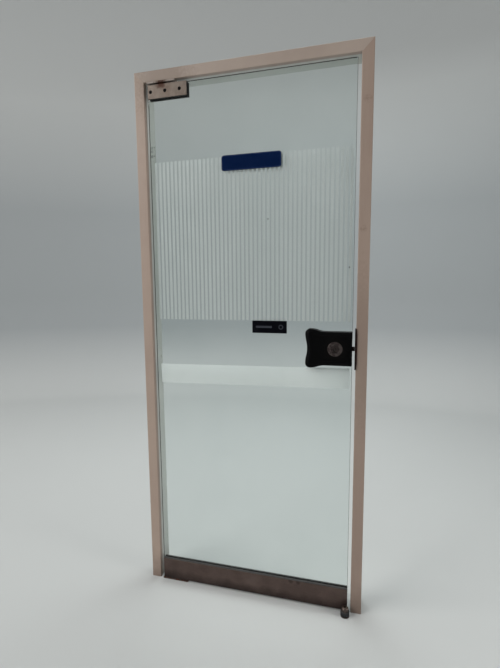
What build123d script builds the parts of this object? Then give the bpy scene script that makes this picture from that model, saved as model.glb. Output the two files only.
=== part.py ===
from build123d import *
from math import radians, sin
import os

os.makedirs("parts", exist_ok=True)

# Glass entrance door: a frameless glass leaf that swings on two pivots, in a painted tube frame.
# Millimetres. The origin is on the pivot axis at floor level, +X runs along the closed leaf
# towards its latch edge, +Y goes into the room that the leaf opens to, +Z is up.

# Leaf and its gaps
leaf_width = 810.0
hinge_setback = 59.0
glass_thickness = 10.0
glass_top = 2100.0
glass_arris = 0.8
hinge_gap = 13.0
latch_gap = 13.0
head_gap = 12.0
fitting_inset = 5.0

# Frame tube
frame_face = 42.0
frame_depth = 90.0
frame_front = 12.0
tube_wall = 2.0
tube_radius = 3.0
fixing_hole = 4.0
fixing_first = 173.0
fixing_pitch = 849.0
fixing_rows = 3
fixing_pair = 34.0
fixing_setback = 14.0

# Cross recess of a countersunk screw, as shares of its head's radius
cross_width = 0.2
cross_depth = 0.33

# Fits: radial play of a turning pivot, slack of a seated piece, and play of a sliding one
pivot_play = 0.05
seat_play = 0.05
slide_play = 0.3

# Top pivot
top_plate_length = 120.0
top_plate_width = 28.0
top_plate_thickness = 6.0
plate_corner = 4.0
top_screw_reach = 48.0
top_screw_head = 5.0
top_screw_shank = 2.5
top_screw_length = 14.0
pin_radius = 7.0
pin_chamfer = 1.5
spigot_radius = 5.0
collar_radius = 10.0
collar_height = 3.0
top_pin_length = 28.0

# Bottom pivot
floor_plate_length = 120.0
floor_plate_width = 32.0
floor_plate_thickness = 4.0
floor_hole = 3.0
floor_hole_sink = 5.5
floor_hole_reach = 46.0
floor_spigot_radius = 6.0
shoulder_radius = 13.0
washer_radius = 11.0
washer_thickness = 2.5
washer_play = 0.3
thrust_play = 0.1
floor_pin_length = 26.0
floor_plate_edge = 1.0
block_recess = 2.0

# Corner patch fitting
patch_length = 165.0
patch_height = 52.0
patch_drop = 2.0
patch_corner_radius = 1.5
body_half = 14.5
cover_sheet = 1.5
liner_thickness = 1.0
clamp_gap = 1.0
notch_depth = 40.0
notch_end = 88.0
notch_radius = 10.0
notch_play = 1.0
patch_screw_first = -42.0
patch_screw_pitch = 61.5
patch_screw_count = 3
patch_screw_rise = 26.0
cap_head = 6.5
cap_head_height = 6.0
cap_shank = 4.0
cap_key = 6.0
cap_key_depth = 3.0
cap_sunk = 0.5
cover_hole = 7.0
cover_edge = 0.5
pivot_block_half = 12.0
pivot_block_depth = 11.5
pivot_block_height = 30.0
bush_wall = 2.5

# Bottom rail
rail_gap = 9.0
rail_height = 88.0
slot_half = 8.5
slot_depth = 49.0
rail_web = 4.0
chamber_half = 11.5
clip_depth = 1.0
clip_height = 3.0
clip_inset = 7.0
clip_play = 0.2
port_radius = 1.7
port_rise = 10.0
cap_plate = 2.0
rail_screw_head = 3.1
rail_screw_shank = 1.6
rail_screw_length = 14.0
gasket_grip = 13.0
gasket_lip = 2.5
gasket_edge = 1.0
gasket_inset = 0.5
setting_block = 4.0
setting_length = 80.0
setting_reach = 120.0
rail_block_half = 35.0
rail_block_play = 0.2
block_screw_reach = 24.0
block_screw_head = 6.0
block_screw_shank = 3.0

# Frosted film and signs
film_thickness = 0.25
film_glue = 0.05
stripe_drop = 292.0
stripe_lock_gap = 27.5
stripe_width = 10.5
stripe_pitch = 17.2
film_margin_hinge = 16.8
film_margin_latch = 8.0
band_height = 81.0
band_lock_gap = 1.5
band_tilt = 1.0
name_plate_width = 235.0
name_plate_height = 58.0
name_plate_corner = 10.0
name_plate_shift = 16.5
name_plate_drop = 289.0
push_plate_width = 138.5
push_plate_height = 49.0
push_plate_corner = 1.5
push_plate_gap = 74.0
sign_thickness = 2.0
sign_edge = 0.5

# Lock
lock_height = 1073.0
lock_backset = 63.0
case_edge_gap = 1.0
case_length = 174.0
case_half_height = 64.0
case_ear_half_height = 74.5
case_waist = 75.0
case_ear_length = 17.0
case_ear_drop = 17.0
case_hollow = 7.0
case_depth = 19.0
case_bevel_run = 12.0
case_bevel_depth = 4.5
case_wall = 3.0
case_cavity = 11.0
case_rim_inset = 2.0
case_rim_width = 3.0
case_rim_rise = 0.8
rib_count = 4
rib_pitch = 5.0
rib_width = 1.6
rib_depth = 0.7
rib_half_height = 44.0
rib_inset = 14.0
case_gasket = 1.0
gasket_width = 6.0
lock_notch_half = 40.0
lock_notch_radius = 12.0
body_length = 103.0
body_half_height = 28.0
body_wall = 3.0
body_front = 9.0
lid_thickness = 2.7
body_edge_gap = 2.0
lock_screw_left = 37.0
lock_screw_left_rise = 44.0
lock_screw_right = 9.0
lock_screw_right_rise = 35.0
lock_screw_head = 4.5
lock_screw_shank = 2.5
lock_screw_length = 38.0
glass_hole = 6.0
boss_radius = 5.0
cylinder_radius = 16.0
cylinder_stand = 1.5
plug_radius = 7.5
keyway_width = 2.0
keyway_height = 9.0
keyway_depth = 8.0
tail_radius = 3.0
tail_depth = 7.0
rosette_radius = 27.5
rosette_height = 3.0
rosette_round = 1.4
bolt_height = 16.0
bolt_thickness = 10.0
bolt_edge = 1.0
bolt_throw = 11.0
bolt_turn = 51.8
bolt_tip_gap = 0.5
hub_radius = 7.0
hub_slack = 0.6
cam_arm = 2.5
cam_tip = 4.0
cam_tip_slack = 0.8
cam_play = 0.2
window_rise = 9.2
tail_below = 14.0
tail_margin = 5.0
turn_shaft = 4.0
turn_flange = 11.0
turn_flange_height = 3.0
turn_length = 34.0
turn_width = 11.0
turn_height = 15.0
turn_round = 2.0
turn_rosette_radius = 20.0
turn_rosette_height = 2.0
turn_rosette_round = 1.0

# Strike on the latch jamb
strike_length = 155.0
strike_leg = 4.0
strike_reach = 32.0
strike_flange = 8.5
strike_round = 2.0
strike_taper = 3.5
strike_taper_length = 26.0
strike_slot_play = 1.5
mortise_play = 1.0
strike_screw_rise = 60.0
strike_screw_y = 3.0
strike_screw_head = 4.0
strike_screw_shank = 2.0
strike_screw_length = 10.0

# Floor stop
stop_inset = 7.0
stop_radius = 17.5
stop_play = 0.4
stop_base = 3.0
stop_stem = 7.0
stop_height = 38.0
stop_cap = 14.0
stop_cap_height = 14.0
stop_cap_round = 8.0
stop_ring_bottom = 5.0
stop_ring_height = 17.0
stop_ring_round = 3.0
stop_bore = 2.6
stop_bore_head = 5.0
stop_bore_depth = 4.0

# Places worked out from the sizes above
hinge_edge = -hinge_setback
latch_edge = leaf_width - hinge_setback
opening_left = hinge_edge - hinge_gap
opening_right = latch_edge + latch_gap
head_under = glass_top + head_gap
frame_top = head_under + frame_face
frame_middle = frame_depth / 2 - frame_front
frame_left = opening_left - frame_face
frame_right = opening_right + frame_face
glass_half = glass_thickness / 2
face_half = body_half + cover_sheet
clamp_inner = glass_half + liner_thickness
fitting_left = hinge_edge + fitting_inset
top_plate_under = head_under - top_plate_thickness
collar_under = top_plate_under - collar_height
patch_top = glass_top - patch_drop
patch_bottom = patch_top - patch_height
patch_right = fitting_left + patch_length
notch_bottom = glass_top - notch_depth
spine_bottom = notch_bottom + notch_play
spine_right = notch_end - notch_play
patch_screw_z = patch_bottom + patch_screw_rise
patch_screw_xs = [patch_screw_first + i * patch_screw_pitch for i in range(patch_screw_count)]
block_bottom = patch_top - pivot_block_height
bush_inner = pin_radius + pivot_play
bush_outer = bush_inner + bush_wall
rail_bottom = rail_gap
rail_top = rail_bottom + rail_height
slot_floor = rail_top - slot_depth
chamber_top = slot_floor - rail_web
glass_bottom = slot_floor + setting_block
rail_block_bottom = rail_bottom + block_recess
shoulder_top = rail_block_bottom - washer_thickness - thrust_play
film_left = hinge_edge + film_margin_hinge
film_right = latch_edge - film_margin_latch
stripe_top = glass_top - stripe_drop
stripe_bottom = lock_height + case_ear_half_height + stripe_lock_gap
band_top = lock_height - case_ear_half_height - band_lock_gap
band_length = film_right - film_left
band_sag = band_length / 2 * sin(radians(band_tilt))
stripe_count = int((film_right - film_left - stripe_width) // stripe_pitch) + 1
case_right = latch_edge - case_edge_gap
case_left = case_right - case_length
case_inner = glass_half + case_gasket
case_face = case_inner + case_depth
spindle_x = latch_edge - lock_backset
lock_body_right = latch_edge - body_edge_gap
lock_body_left = lock_body_right - body_length
lock_notch_left = lock_body_left - notch_play
cavity_half = bolt_thickness / 2 + slide_play
cylinder_face = case_face + cylinder_stand
strike_face = opening_right - strike_leg
strike_front = frame_front + strike_leg
strike_bottom = lock_height - strike_length / 2
bolt_tip = strike_face - bolt_tip_gap
cam_reach = bolt_throw / sin(radians(bolt_turn))
stop_x = latch_edge - stop_inset
stop_y = -(face_half + stop_play + stop_radius)
lock_plane = Plane(origin=(0, 0, lock_height), x_dir=(1, 0, 0), z_dir=(0, -1, 0))


def upright(x, y, z):
    """A plane at this point that faces up."""
    return Plane(origin=(x, y, z), z_dir=(0, 0, 1))


def cap_screw(place, length):
    """Socket cap screw: place lies on the head's face and looks away from it."""
    with BuildPart() as screw:
        with BuildSketch(place):
            Circle(cap_head)
        extrude(amount=-cap_head_height)
        with BuildSketch(place.offset(-cap_head_height)):
            Circle(cap_shank)
        extrude(amount=-length)
        with BuildSketch(place):
            RegularPolygon(cap_key / 2, 6, major_radius=False)
        extrude(amount=-cap_key_depth, mode=Mode.SUBTRACT)
    return screw.part


def flat_screw(place, head, shank, length):
    """Countersunk screw with a cross recess: place lies on the head's face and looks away from it."""
    with BuildPart() as screw:
        with BuildSketch(place):
            Circle(head)
        with BuildSketch(place.offset(shank - head)):
            Circle(shank)
        loft()
        with BuildSketch(place.offset(shank - head)):
            Circle(shank)
        extrude(amount=-(length + shank - head))
        with BuildSketch(place):
            Rectangle(head, head * cross_width)
            Rectangle(head * cross_width, head)
        extrude(amount=-head * cross_depth, mode=Mode.SUBTRACT)
    return screw.part


def flat_seat(place, head, shank, depth):
    """The room that such a screw needs, to be cut out of the piece it holds."""
    with BuildPart() as seat:
        with BuildSketch(place):
            Circle(head + seat_play)
        with BuildSketch(place.offset(shank - head)):
            Circle(shank + seat_play)
        loft()
        with BuildSketch(place):
            Circle(shank + seat_play)
        extrude(amount=-depth)
    return seat.part


# Frame: rectangular steel tube, mitred at the two top corners
with BuildSketch() as tube_section:
    RectangleRounded(frame_face, frame_depth, tube_radius)
    tube_hollow = (frame_face - 2 * tube_wall, frame_depth - 2 * tube_wall)
    RectangleRounded(*tube_hollow, tube_radius - tube_wall / 2, mode=Mode.SUBTRACT)

fixing_y = frame_depth - frame_front - fixing_setback
fixing_spots = [
    (fixing_y, fixing_first + row * fixing_pitch + half * fixing_pair / 2)
    for row in range(fixing_rows)
    for half in (-1, 1)
]
hinge_mitre = Plane(origin=(opening_left, 0, head_under), z_dir=(1, 0, 1))
latch_mitre = Plane(origin=(opening_right, 0, head_under), z_dir=(-1, 0, 1))

with BuildPart(upright(opening_left - frame_face / 2, frame_middle, 0)) as hinge_jamb:
    add(tube_section.sketch)
    extrude(amount=frame_top)
    split(bisect_by=hinge_mitre, keep=Keep.BOTTOM)
    with BuildSketch(Plane.YZ.offset(frame_left)):
        with Locations(*fixing_spots):
            Circle(fixing_hole)
    extrude(amount=frame_face, mode=Mode.SUBTRACT)
hinge_jamb.part.label = "hinge_jamb"
export_step(hinge_jamb.part, "parts/hinge_jamb.step")

with BuildPart(upright(opening_right + frame_face / 2, frame_middle, 0)) as latch_jamb:
    add(tube_section.sketch)
    extrude(amount=frame_top)
    split(bisect_by=latch_mitre, keep=Keep.BOTTOM)
    with BuildSketch(Plane.YZ.offset(opening_right)):
        with Locations(*fixing_spots):
            Circle(fixing_hole)
    extrude(amount=frame_face, mode=Mode.SUBTRACT)
    # Mortise behind the strike, and the holes of its two screws
    mortise_slack = 2 * (strike_slot_play + mortise_play)
    with BuildSketch(Plane.YZ.offset(opening_right)):
        with Locations((0, lock_height)):
            Rectangle(bolt_thickness + mortise_slack, bolt_height + mortise_slack)
        with Locations(*[(strike_screw_y, lock_height + s * strike_screw_rise) for s in (-1, 1)]):
            Circle(strike_screw_shank + seat_play)
    extrude(amount=tube_wall, mode=Mode.SUBTRACT)
latch_jamb.part.label = "latch_jamb"
export_step(latch_jamb.part, "parts/latch_jamb.step")

head_middle = head_under + frame_face / 2
head_start = Plane(origin=(frame_left, frame_middle, head_middle), x_dir=(0, 0, 1), z_dir=(1, 0, 0))
with BuildPart(head_start) as frame_head:
    add(tube_section.sketch)
    extrude(amount=frame_right - frame_left)
    split(bisect_by=hinge_mitre, keep=Keep.TOP)
    split(bisect_by=latch_mitre, keep=Keep.TOP)
    with BuildSketch(Plane.XY.offset(head_under)):
        with Locations((-top_screw_reach, 0), (top_screw_reach, 0)):
            Circle(top_screw_shank + seat_play)
    extrude(amount=tube_wall, mode=Mode.SUBTRACT)
frame_head.part.label = "frame_head"
export_step(frame_head.part, "parts/frame_head.step")

# Top pivot: plate under the head, and the pin that hangs from it into the patch fitting
top_screw_places = [
    Plane(origin=(s * top_screw_reach, 0, top_plate_under), z_dir=(0, 0, -1)) for s in (-1, 1)
]
with BuildPart() as top_pivot_plate:
    with BuildSketch(Plane.XY.offset(top_plate_under)):
        RectangleRounded(top_plate_length, top_plate_width, plate_corner)
        Circle(spigot_radius + seat_play, mode=Mode.SUBTRACT)
    extrude(amount=top_plate_thickness)
    for place in top_screw_places:
        add(flat_seat(place, top_screw_head, top_screw_shank, top_plate_thickness), mode=Mode.SUBTRACT)
top_pivot_plate.part.label = "top_pivot_plate"
export_step(top_pivot_plate.part, "parts/top_pivot_plate.step")

with BuildPart() as top_plate_screws:
    for place in top_screw_places:
        add(flat_screw(place, top_screw_head, top_screw_shank, top_screw_length))
top_plate_screws.part.label = "top_plate_screws"
export_step(top_plate_screws.part, "parts/top_plate_screws.step")

with BuildPart() as top_pivot_pin:
    with BuildSketch(Plane.XZ):
        with BuildLine():
            Polyline(
                (0, head_under),
                (spigot_radius, head_under),
                (spigot_radius, top_plate_under),
                (collar_radius, top_plate_under),
                (collar_radius, collar_under),
                (pin_radius, collar_under),
                (pin_radius, collar_under - top_pin_length),
                (pin_radius - pin_chamfer, collar_under - top_pin_length - pin_chamfer),
                (0, collar_under - top_pin_length - pin_chamfer),
                close=True,
            )
        make_face()
    revolve(axis=Axis.Z)
top_pivot_pin.part.label = "top_pivot_pin"
export_step(top_pivot_pin.part, "parts/top_pivot_pin.step")

# Bottom pivot: plate on the floor, its pin, and the bronze washer that carries the leaf
with BuildPart() as floor_pivot_plate:
    with BuildSketch():
        RectangleRounded(floor_plate_length, floor_plate_width, plate_corner)
        Circle(floor_spigot_radius + seat_play, mode=Mode.SUBTRACT)
    extrude(amount=floor_plate_thickness)
    for s in (-1, 1):
        place = upright(s * floor_hole_reach, 0, floor_plate_thickness)
        add(flat_seat(place, floor_hole_sink, floor_hole, floor_plate_thickness), mode=Mode.SUBTRACT)
    upper_face = floor_pivot_plate.faces().sort_by(Axis.Z)[-1]
    chamfer(upper_face.outer_wire().edges(), length=floor_plate_edge)
floor_pivot_plate.part.label = "floor_pivot_plate"
export_step(floor_pivot_plate.part, "parts/floor_pivot_plate.step")

with BuildPart() as floor_pivot_pin:
    with BuildSketch(Plane.XZ):
        with BuildLine():
            Polyline(
                (0, 0),
                (floor_spigot_radius, 0),
                (floor_spigot_radius, floor_plate_thickness),
                (shoulder_radius, floor_plate_thickness),
                (shoulder_radius, shoulder_top),
                (pin_radius, shoulder_top),
                (pin_radius, shoulder_top + floor_pin_length),
                (pin_radius - pin_chamfer, shoulder_top + floor_pin_length + pin_chamfer),
                (0, shoulder_top + floor_pin_length + pin_chamfer),
                close=True,
            )
        make_face()
    revolve(axis=Axis.Z)
floor_pivot_pin.part.label = "floor_pivot_pin"
export_step(floor_pivot_pin.part, "parts/floor_pivot_pin.step")

with BuildPart() as thrust_washer:
    with BuildSketch(Plane.XY.offset(shoulder_top)):
        Circle(washer_radius)
        Circle(pin_radius + washer_play, mode=Mode.SUBTRACT)
    extrude(amount=washer_thickness)
thrust_washer.part.label = "thrust_washer"
export_step(thrust_washer.part, "parts/thrust_washer.step")

# Strike: an angle on the latch jamb, with the slot that the bolt is thrown into
strike_places = [
    Plane(origin=(strike_face, strike_screw_y, lock_height + s * strike_screw_rise), z_dir=(-1, 0, 0))
    for s in (-1, 1)
]
with BuildPart() as strike_plate:
    with BuildSketch(Plane.XY.offset(strike_bottom)):
        with BuildLine():
            Polyline(
                (strike_face, -strike_front),
                (strike_face + strike_flange, -strike_front),
                (strike_face + strike_flange, -frame_front),
                (opening_right, -frame_front),
                (opening_right, strike_reach - frame_front),
                (strike_face, strike_reach - frame_front),
                close=True,
            )
        make_face()
    extrude(amount=strike_length)
    nose = strike_plate.edges().filter_by(Axis.Z).group_by(Axis.Y)[0]
    fillet(nose, radius=strike_round)
    # Both ends of the front flange taper
    with BuildSketch(Plane.XZ.offset(strike_front)):
        for end, toward in ((strike_bottom, 1), (strike_bottom + strike_length, -1)):
            with BuildLine():
                Polyline(
                    (strike_face + strike_flange, end),
                    (strike_face + strike_flange - strike_taper, end),
                    (strike_face + strike_flange, end + toward * strike_taper_length),
                    close=True,
                )
            make_face()
    extrude(amount=-(strike_front - frame_front), mode=Mode.SUBTRACT)
    with BuildSketch(Plane.YZ.offset(strike_face)):
        with Locations((0, lock_height)):
            Rectangle(bolt_thickness + 2 * strike_slot_play, bolt_height + 2 * strike_slot_play)
    extrude(amount=strike_leg, mode=Mode.SUBTRACT)
    for place in strike_places:
        add(flat_seat(place, strike_screw_head, strike_screw_shank, strike_leg), mode=Mode.SUBTRACT)
strike_plate.part.label = "strike_plate"
export_step(strike_plate.part, "parts/strike_plate.step")

with BuildPart() as strike_screws:
    for place in strike_places:
        add(flat_screw(place, strike_screw_head, strike_screw_shank, strike_screw_length))
strike_screws.part.label = "strike_screws"
export_step(strike_screws.part, "parts/strike_screws.step")

# Floor stop: a turned post with a rubber ring that the rail closes against
with BuildPart() as stop_post:
    with BuildSketch(Plane.XZ.offset(-stop_y)):
        with BuildLine():
            Polyline(
                (stop_x + stop_bore, 0),
                (stop_x + stop_radius, 0),
                (stop_x + stop_radius, stop_base),
                (stop_x + stop_stem, stop_base),
                (stop_x + stop_stem, stop_height - stop_cap_height),
                (stop_x + stop_cap, stop_height - stop_cap_height),
                (stop_x + stop_cap, stop_height),
                (stop_x + stop_bore_head, stop_height),
                (stop_x + stop_bore_head, stop_height - stop_bore_depth),
                (stop_x + stop_bore, stop_height - stop_bore_depth),
                close=True,
            )
        make_face()
    revolve(axis=Axis((stop_x, stop_y, 0), (0, 0, 1)))
    rim = stop_post.edges().group_by(Axis.Z)[-1].filter_by(GeomType.CIRCLE).sort_by(SortBy.RADIUS)[-1]
    fillet(rim, radius=stop_cap_round)
stop_post.part.label = "stop_post"
export_step(stop_post.part, "parts/stop_post.step")

with BuildPart() as stop_ring:
    with BuildSketch(upright(stop_x, stop_y, stop_ring_bottom)):
        Circle(stop_radius)
        Circle(stop_stem + seat_play, mode=Mode.SUBTRACT)
    extrude(amount=stop_ring_height)
    fillet(stop_ring.edges().filter_by(GeomType.CIRCLE).sort_by(SortBy.RADIUS)[-2:], radius=stop_ring_round)
stop_ring.part.label = "stop_ring"
export_step(stop_ring.part, "parts/stop_ring.step")

# Glass pane: toughened sheet, notched for the patch fitting and for the lock
lock_screw_spots = [
    (case_left + lock_screw_left, -lock_screw_left_rise),
    (case_left + lock_screw_left, lock_screw_left_rise),
    (case_right - lock_screw_right, -lock_screw_right_rise),
    (case_right - lock_screw_right, lock_screw_right_rise),
]
with BuildPart() as glass_pane:
    with BuildSketch(Plane.XZ):
        with Locations((hinge_edge, glass_bottom)):
            Rectangle(leaf_width, glass_top - glass_bottom, align=Align.MIN)
    extrude(amount=glass_half, both=True)
    with BuildSketch(Plane.XZ):
        with BuildLine():
            Line((hinge_edge, glass_top), (notch_end, glass_top))
            Line((notch_end, glass_top), (notch_end, notch_bottom + notch_radius))
            arc_start = (notch_end, notch_bottom + notch_radius)
            RadiusArc(arc_start, (notch_end - notch_radius, notch_bottom), notch_radius)
            Line((notch_end - notch_radius, notch_bottom), (hinge_edge, notch_bottom))
            Line((hinge_edge, notch_bottom), (hinge_edge, glass_top))
        make_face()
    extrude(amount=glass_half, both=True, mode=Mode.SUBTRACT)
    with BuildSketch(lock_plane):
        with Locations((latch_edge, 0)):
            RectangleRounded(2 * (latch_edge - lock_notch_left), 2 * lock_notch_half, lock_notch_radius)
        with Locations(lock_screw_spots[0], lock_screw_spots[1]):
            Circle(glass_hole)
    extrude(amount=glass_half, both=True, mode=Mode.SUBTRACT)
    flat_faces = glass_pane.faces().filter_by(Axis.Y).sort_by(Axis.Y)
    sharp_edges = flat_faces[0].outer_wire().edges() + flat_faces[-1].outer_wire().edges()
    chamfer(sharp_edges, length=glass_arris)
glass_pane.part.label = "glass_pane"
export_step(glass_pane.part, "parts/glass_pane.step")

# Frosted film on the room side of the glass: upright stripes above, a plain band below that was
# laid a little askew, lower towards the hinge edge
with BuildPart() as film_stripes:
    with BuildSketch(Plane.XZ.offset(-glass_half - film_glue)):
        with Locations(*[(film_left + i * stripe_pitch, stripe_bottom) for i in range(stripe_count)]):
            Rectangle(stripe_width, stripe_top - stripe_bottom, align=Align.MIN)
    extrude(amount=-film_thickness)
film_stripes.part.label = "film_stripes"
export_step(film_stripes.part, "parts/film_stripes.step")

with BuildPart() as film_band:
    with BuildSketch(Plane.XZ.offset(-glass_half - film_glue)):
        with Locations(((film_left + film_right) / 2, band_top - band_height / 2 - band_sag)):
            Rectangle(band_length, band_height, rotation=band_tilt)
    extrude(amount=-film_thickness)
film_band.part.label = "film_band"
export_step(film_band.part, "parts/film_band.step")

# Two bare sign plates stuck to the outer face of the glass
with BuildPart() as name_plate:
    with BuildSketch(Plane.XZ.offset(glass_half)):
        with Locations(((hinge_edge + latch_edge) / 2 + name_plate_shift, glass_top - name_plate_drop)):
            RectangleRounded(
                name_plate_width, name_plate_height, name_plate_corner, align=(Align.CENTER, Align.MAX)
            )
    extrude(amount=sign_thickness)
    chamfer(name_plate.faces().sort_by(Axis.Y)[0].outer_wire().edges(), length=sign_edge)
name_plate.part.label = "name_plate"
export_step(name_plate.part, "parts/name_plate.step")

with BuildPart() as push_sign:
    with BuildSketch(Plane.XZ.offset(glass_half)):
        with Locations((case_left - push_plate_gap, stripe_bottom)):
            RectangleRounded(push_plate_width, push_plate_height, push_plate_corner, align=Align.MAX)
    extrude(amount=sign_thickness)
    chamfer(push_sign.faces().sort_by(Axis.Y)[0].outer_wire().edges(), length=sign_edge)
push_sign.part.label = "push_sign"
export_step(push_sign.part, "parts/push_sign.step")

# Patch fitting: two clamp bodies with liners on the glass, a pivot block between them, and covers
patch_middle = ((fitting_left + patch_right) / 2, (patch_bottom + patch_top) / 2)
for side, name in ((1, "patch_front_body"), (-1, "patch_rear_body")):
    with BuildPart() as patch_body:
        with BuildSketch(Plane.XZ.offset(side * clamp_inner)):
            with Locations(patch_middle):
                RectangleRounded(patch_length, patch_height, patch_corner_radius)
        extrude(amount=side * (body_half - clamp_inner))
        # Spine that fills half of the notch in the glass
        with BuildSketch(Plane.XZ.offset(side * clamp_gap / 2)):
            with Locations((fitting_left, spine_bottom)):
                Rectangle(spine_right - fitting_left, patch_top - spine_bottom, align=Align.MIN)
            spine_corner = (spine_right, spine_bottom)
            with BuildLine(mode=Mode.PRIVATE) as corner_line:
                Polyline(
                    spine_corner,
                    (spine_right, spine_bottom + notch_radius),
                    (spine_right - notch_radius, spine_bottom),
                    close=True,
                )
            make_face(corner_line.edges(), mode=Mode.SUBTRACT)
        extrude(amount=side * (clamp_inner - clamp_gap / 2))
        # Pocket for the pivot block
        with BuildSketch(Plane.XZ.offset(side * clamp_gap / 2)):
            with Locations((0, block_bottom - seat_play)):
                Rectangle(
                    2 * (pivot_block_half + seat_play), pivot_block_height + 2 * seat_play,
                    align=(Align.CENTER, Align.MIN),
                )
        extrude(amount=side * (pivot_block_depth + seat_play - clamp_gap / 2), mode=Mode.SUBTRACT)
        # Screw holes, counterbored in the front body
        with BuildSketch(Plane.XZ):
            with Locations(*[(x, patch_screw_z) for x in patch_screw_xs]):
                Circle(cap_shank + seat_play)
        extrude(amount=side * body_half, mode=Mode.SUBTRACT)
        if side == 1:
            with BuildSketch(Plane.XZ.offset(body_half)):
                with Locations(*[(x, patch_screw_z) for x in patch_screw_xs]):
                    Circle(cap_head + seat_play)
            extrude(amount=-(cap_head_height - cap_sunk), mode=Mode.SUBTRACT)
    patch_body.part.label = name
    export_step(patch_body.part, "parts/" + name + ".step")

with BuildPart() as patch_front_cover:
    with BuildSketch(Plane.XZ.offset(body_half)):
        with Locations(patch_middle):
            RectangleRounded(patch_length, patch_height, patch_corner_radius)
        with Locations(*[(x, patch_screw_z) for x in patch_screw_xs]):
            Circle(cover_hole, mode=Mode.SUBTRACT)
    extrude(amount=cover_sheet)
    chamfer(patch_front_cover.faces().sort_by(Axis.Y)[0].outer_wire().edges(), length=cover_edge)
patch_front_cover.part.label = "patch_front_cover"
export_step(patch_front_cover.part, "parts/patch_front_cover.step")

with BuildPart() as patch_rear_cover:
    with BuildSketch(Plane.XZ.offset(-body_half)):
        with Locations(patch_middle):
            RectangleRounded(patch_length, patch_height, patch_corner_radius)
    extrude(amount=-cover_sheet)
    chamfer(patch_rear_cover.faces().sort_by(Axis.Y)[-1].outer_wire().edges(), length=cover_edge)
patch_rear_cover.part.label = "patch_rear_cover"
export_step(patch_rear_cover.part, "parts/patch_rear_cover.step")

with BuildPart() as patch_liners:
    for side in (1, -1):
        with BuildSketch(Plane.XZ.offset(side * glass_half)):
            with Locations(patch_middle):
                RectangleRounded(patch_length, patch_height, patch_corner_radius)
            with Locations((fitting_left, notch_bottom)):
                Rectangle(notch_end - fitting_left, notch_depth, align=Align.MIN, mode=Mode.SUBTRACT)
        extrude(amount=side * liner_thickness)
patch_liners.part.label = "patch_liners"
export_step(patch_liners.part, "parts/patch_liners.step")

with BuildPart() as patch_screws:
    for x in patch_screw_xs:
        head_spot = (x, -(body_half + cap_sunk), patch_screw_z)
        head_place = Plane(origin=head_spot, x_dir=(1, 0, 0), z_dir=(0, -1, 0))
        add(cap_screw(head_place, 2 * body_half - cap_head_height - 2 * cap_sunk))
patch_screws.part.label = "patch_screws"
export_step(patch_screws.part, "parts/patch_screws.step")

with BuildPart() as patch_pivot_block:
    with BuildSketch(Plane.XY.offset(block_bottom)):
        Rectangle(2 * pivot_block_half, 2 * pivot_block_depth)
        Circle(bush_outer + seat_play, mode=Mode.SUBTRACT)
    extrude(amount=pivot_block_height)
patch_pivot_block.part.label = "patch_pivot_block"
export_step(patch_pivot_block.part, "parts/patch_pivot_block.step")

with BuildPart() as patch_bush:
    with BuildSketch(Plane.XY.offset(block_bottom)):
        Circle(bush_outer)
        Circle(bush_inner, mode=Mode.SUBTRACT)
    extrude(amount=pivot_block_height)
patch_bush.part.label = "patch_bush"
export_step(patch_bush.part, "parts/patch_bush.step")

# Bottom rail: one extrusion with a slot for the glass above and a chamber for the pivot below
rail_left = fitting_left + cap_plate
rail_right = latch_edge - cap_plate
rail_middle = (rail_bottom + rail_top) / 2
clip_heights = (rail_bottom + clip_inset, rail_top - clip_inset)
clip_rib = clip_depth - clip_play
port_height = slot_floor + port_rise
port_y = (slot_half + body_half) / 2
with BuildPart() as rail_channel:
    with BuildSketch(Plane.YZ.offset(rail_left)):
        with Locations((0, rail_middle)):
            Rectangle(2 * body_half, rail_height)
        with Locations((0, slot_floor)):
            Rectangle(2 * slot_half, slot_depth, align=(Align.CENTER, Align.MIN), mode=Mode.SUBTRACT)
        with Locations((0, rail_bottom)):
            Rectangle(
                2 * chamber_half, chamber_top - rail_bottom,
                align=(Align.CENTER, Align.MIN), mode=Mode.SUBTRACT,
            )
        with Locations(*[(s * (body_half - clip_depth / 2), z) for s in (-1, 1) for z in clip_heights]):
            Rectangle(clip_depth, clip_height, mode=Mode.SUBTRACT)
        with Locations((-port_y, port_height), (port_y, port_height)):
            Circle(port_radius, mode=Mode.SUBTRACT)
    extrude(amount=rail_right - rail_left)
    with BuildSketch(Plane.XY.offset(chamber_top)):
        with Locations((-block_screw_reach, 0), (block_screw_reach, 0)):
            Circle(block_screw_shank + seat_play)
    extrude(amount=rail_web, mode=Mode.SUBTRACT)
rail_channel.part.label = "rail_channel"
export_step(rail_channel.part, "parts/rail_channel.step")

for side, name in ((-1, "rail_front_cover"), (1, "rail_rear_cover")):
    with BuildPart() as rail_cover:
        with BuildSketch(Plane.YZ.offset(rail_left)):
            with Locations((side * (body_half + cover_sheet / 2), rail_middle)):
                Rectangle(cover_sheet, rail_height)
            with Locations(*[(side * (body_half - clip_rib / 2), z) for z in clip_heights]):
                Rectangle(clip_rib, clip_height - 2 * clip_play)
        extrude(amount=rail_right - rail_left)
        outer_face = rail_cover.faces().filter_by(Axis.Y).sort_by(Axis.Y)[0 if side == -1 else -1]
        chamfer(outer_face.edges().filter_by(Axis.X), length=cover_edge)
    rail_cover.part.label = name
    export_step(rail_cover.part, "parts/" + name + ".step")

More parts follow.
